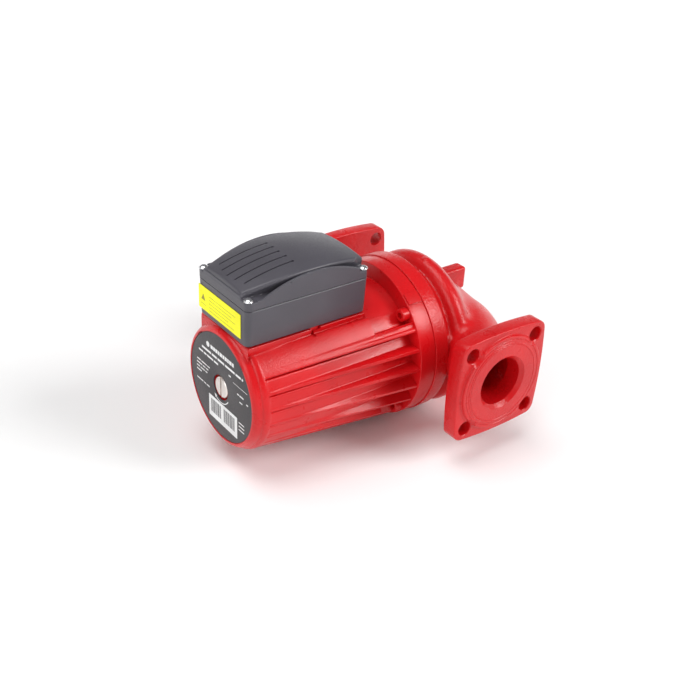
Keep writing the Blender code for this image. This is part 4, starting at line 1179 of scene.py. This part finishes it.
def fasteners():
    for number, (x, y) in enumerate(SCREW_PLACES, 1):
        mesh = screw_mesh(x, y, POCKET_FLOOR, 4.3, 1.7, 86.0)
        node = nearest_node("cover_screw_", x, y)
        piece("cover_screw_%d_plated" % number, mesh, SCREW, (node,), COVER)
    for number, angle in enumerate(BOLT_ANGLES, 1):
        name = "casing_bolt_%d" % number
        piece(name + "_socket", bolt_mesh(angle), BOLT, (name,))
    for name in ("box_screw_1", "box_screw_2", "box_screw_3", "box_screw_4", "earth_screw"):
        mesh = screw_mesh(*node_place(name), BOX_FLOOR - 0.1, 3.6, 2.0, 55.5)
        piece(name + "_head", mesh, BRASS if name == "earth_screw" else SCREW, (name,))


def hexagon_nut(x, z, radius, bore, low, high):
    """Hexagon along Y with turned-off corners and a round bore."""
    outline = circle(x, z, radius, 6)
    body = prism(outline, low, high, axis="Y", bevel=0.8)
    profile = [(low - 1, 0), (low - 1, bore), (high + 1, bore), (high + 1, 0)]
    return boolean(body, [lathe(profile, axis="Y", centre=(x, 0, z), steps=48)])


def cable_entries():
    """Gland with its nut, seal and lock nut, and the plug in the second entry."""
    along = dict(axis="Y", centre=(GLAND_X, 0, ENTRY_Z))
    body = [(35, 5.8, 0), (35, 8.0, 0.3), (WALL_Y, 8.0, 0), (WALL_Y, 11.5, 0.4),
            (WALL_Y + 4, 11.5, 0.9), (WALL_Y + 4, 7.6, 0.3), (WALL_Y + 9, 7.6, 0.4),
            (WALL_Y + 9, 5.8, 0)]
    turned("gland_body_moulded", body, GREY, ("gland_body",), steps=64, **along)
    low, high = WALL_Y + 4.3, WALL_Y + 17
    nut = prism(circle(GLAND_X, ENTRY_Z, 11.0, 6), low, low + 8, axis="Y", bevel=0.6)
    dome = fillet([(low + 7, 0, 0), (low + 7, 9.3, 0), (low + 8.5, 9.4, 1.0), (high - 1.2, 8.0, 2.0),
                   (high, 6.4, 0.6), (high, 0, 0)], 4)
    nut = boolean(nut, [lathe(dome, steps=64, **along)], "UNION")
    bore = [(WALL_Y + 2, 0), (WALL_Y + 2, 8.0), (WALL_Y + 13.5, 8.0), (WALL_Y + 13.5, 5.0),
            (WALL_Y + 19, 5.0), (WALL_Y + 19, 0)]
    nut = boolean(nut, [lathe(bore, steps=64, **along)])
    piece("gland_nut_moulded", nut, GREY, ("gland_nut",))
    seal = [(WALL_Y + 9.3, 3.6, 0), (WALL_Y + 9.3, 7.4, 0.4), (WALL_Y + 13.1, 7.4, 0.4),
            (WALL_Y + 13.1, 3.6, 0.5)]
    turned("gland_seal_ring", seal, RUBBER, ("gland_seal",), rounding=3, steps=48, **along)
    nut = hexagon_nut(GLAND_X, ENTRY_Z, 11.5, 8.4, 34.2, 39.0)
    piece("gland_lock_nut_moulded", nut, GREY, ("gland_lock_nut",))
    plug = fillet([(37, 0, 0), (37, 8.0, 0.5), (WALL_Y, 8.0, 0), (WALL_Y, 11.0, 0.4),
                   (WALL_Y + 3, 11.0, 0.8), (WALL_Y + 4, 9.5, 0.8), (WALL_Y + 4, 7.2, 0.3),
                   (WALL_Y + 3.4, 6.9, 0.3), (WALL_Y + 3.4, 0, 0)], 4)
    plug = lathe(plug, axis="Y", centre=(BLANK_X, 0, ENTRY_Z), steps=64)
    slot = [(BLANK_X + u, ENTRY_Z + v) for u, v in ((-6, -0.9), (6, -0.9), (6, 0.9), (-6, 0.9))]
    plug = boolean(plug, [prism(slot, WALL_Y + 2.2, WALL_Y + 6, axis="Y")])
    piece("blanking_plug_moulded", plug, GREY, ("blanking_plug",))


fasteners()
cable_entries()


# ---------------------------------------------------------------- finishes of the kept CAD pieces

KEPT = {
    RUBBER: ("cover_gasket", "box_seal", "can_o_ring", "casing_o_ring"),
    BLOCK: ("terminal_block",),
    BRASS: tuple("terminal_screw_%d" % n for n in range(1, 7)) + ("wear_ring", "impeller_nut"),
    STAINLESS: ("rotor_can", "bearing_plate", "rotor_core", "shaft", "impeller", "capacitor_clip"),
    LAMINATION: ("stator_core",),
    COPPER: ("winding_head_rear", "winding_head_front"),
    CARBON: ("rear_bearing", "front_bearing"),
    CERAMIC: ("thrust_ring",),
    GREY: ("capacitor",),
}


def soften(obj, width):
    """Small rounded edges on a kept CAD piece, as a modifier."""
    bevel = obj.modifiers.new("edges", "BEVEL")
    bevel.width = width * MM
    bevel.segments = 2
    bevel.limit_method = "ANGLE"
    bevel.angle_limit = math.radians(50)


def finish_kept_nodes():
    for finish, names in KEPT.items():
        for name in names:
            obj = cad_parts[name]
            if not obj.material_slots:
                obj.data.materials.append(finish)
            for slot in obj.material_slots:
                slot.material = finish
            if name in ("terminal_block", "capacitor", "capacitor_clip"):
                soften(obj, 0.4)


finish_kept_nodes()


# ---------------------------------------------------------------- camera, light and floor

def look_from(location, target, roll):
    """Rotation that turns an object's -Z towards a target."""
    forward = (target - location).normalized()
    right = forward.cross(Vector((0, 0, 1))).normalized()
    up = right.cross(forward)
    turned_right = right * math.cos(roll) + up * math.sin(roll)
    turned_up = up * math.cos(roll) - right * math.sin(roll)
    return Matrix((turned_right, turned_up, -forward)).transposed().to_4x4()


CAMERA_ANGLES = (-38.374, 30.825, 3.233)  # azimuth, elevation and roll of the photograph's view
CAMERA_TARGET = (-82.1, 0.0, -7.4)
CAMERA_DISTANCE = 1.0765                  # metres
CAMERA_LENS = 53.63                       # on a sensor 36 wide


def camera():
    azimuth, elevation, roll = (math.radians(angle) for angle in CAMERA_ANGLES)
    back = Vector((math.sin(azimuth) * math.cos(elevation), -math.cos(azimuth) * math.cos(elevation),
                   math.sin(elevation)))
    target = Vector(CAMERA_TARGET) * MM
    data = bpy.data.cameras.new("camera")
    data.sensor_width = 36.0
    data.lens = CAMERA_LENS
    data.clip_start, data.clip_end = 0.05, 50.0
    obj = linked("camera", data)
    location = target + back * CAMERA_DISTANCE
    obj.matrix_world = Matrix.Translation(location) @ look_from(location, target, roll)
    bpy.context.scene.camera = obj


def sun(name, towards_light, spread, strength):
    """Even light over the whole floor, as from a far softbox that is spread degrees wide."""
    data = bpy.data.lights.new(name, "SUN")
    data.angle = math.radians(spread)
    data.energy = strength
    obj = linked(name, data)
    obj.matrix_world = look_from(Vector(towards_light), Vector((0, 0, 0)), 0.0)


def floor_mesh(height):
    """Wide round floor in metres, whose edge curves up to fill the views from low down."""
    steps = 96
    rises = ((5.0, 0.0), (5.8, 0.03), (6.5, 0.12), (7.1, 0.3), (7.6, 0.6), (8.0, 1.1), (8.3, 1.8),
             (8.45, 2.5))
    points, faces = [], [tuple(range(steps))]
    for ring, (radius, rise) in enumerate(rises):
        for i in range(steps):
            angle = 2 * math.pi * i / steps
            points.append((radius * math.cos(angle), radius * math.sin(angle), height + rise))
        if ring:
            inner, outer = (ring - 1) * steps, ring * steps
            faces += [(inner + i, outer + i, outer + (i + 1) % steps, inner + (i + 1) % steps)
                      for i in range(steps)]
    mesh = bpy.data.meshes.new("floor")
    mesh.from_pydata(points, [], faces)
    mesh.shade_smooth()
    return mesh


def studio():
    world = bpy.data.worlds.new("studio")
    world.use_nodes = True
    background = world.node_tree.nodes["Background"]
    background.inputs["Color"].default_value = (1.0, 1.0, 1.0, 1.0)
    background.inputs["Strength"].default_value = 0.2
    bpy.context.scene.world = world
    sun("key", (0.53, -0.64, 0.55), 26, 1.75)
    sun("overhead", (-0.20, 0.10, 0.97), 45, 1.7)
    sun("left", (-0.85, -0.30, 0.50), 35, 0.8)
    mesh = floor_mesh(CAD_BOX[0].z)
    nodes = Nodes("pale_floor", 0.6)
    nodes.colour(nodes.noise(3, 2), shades((0.93, 0.93, 0.93), 0.995, 1.0))
    mesh.materials.append(nodes.material)
    linked("floor", mesh)


camera()
studio()
bpy.context.scene.view_settings.view_transform = "Standard"
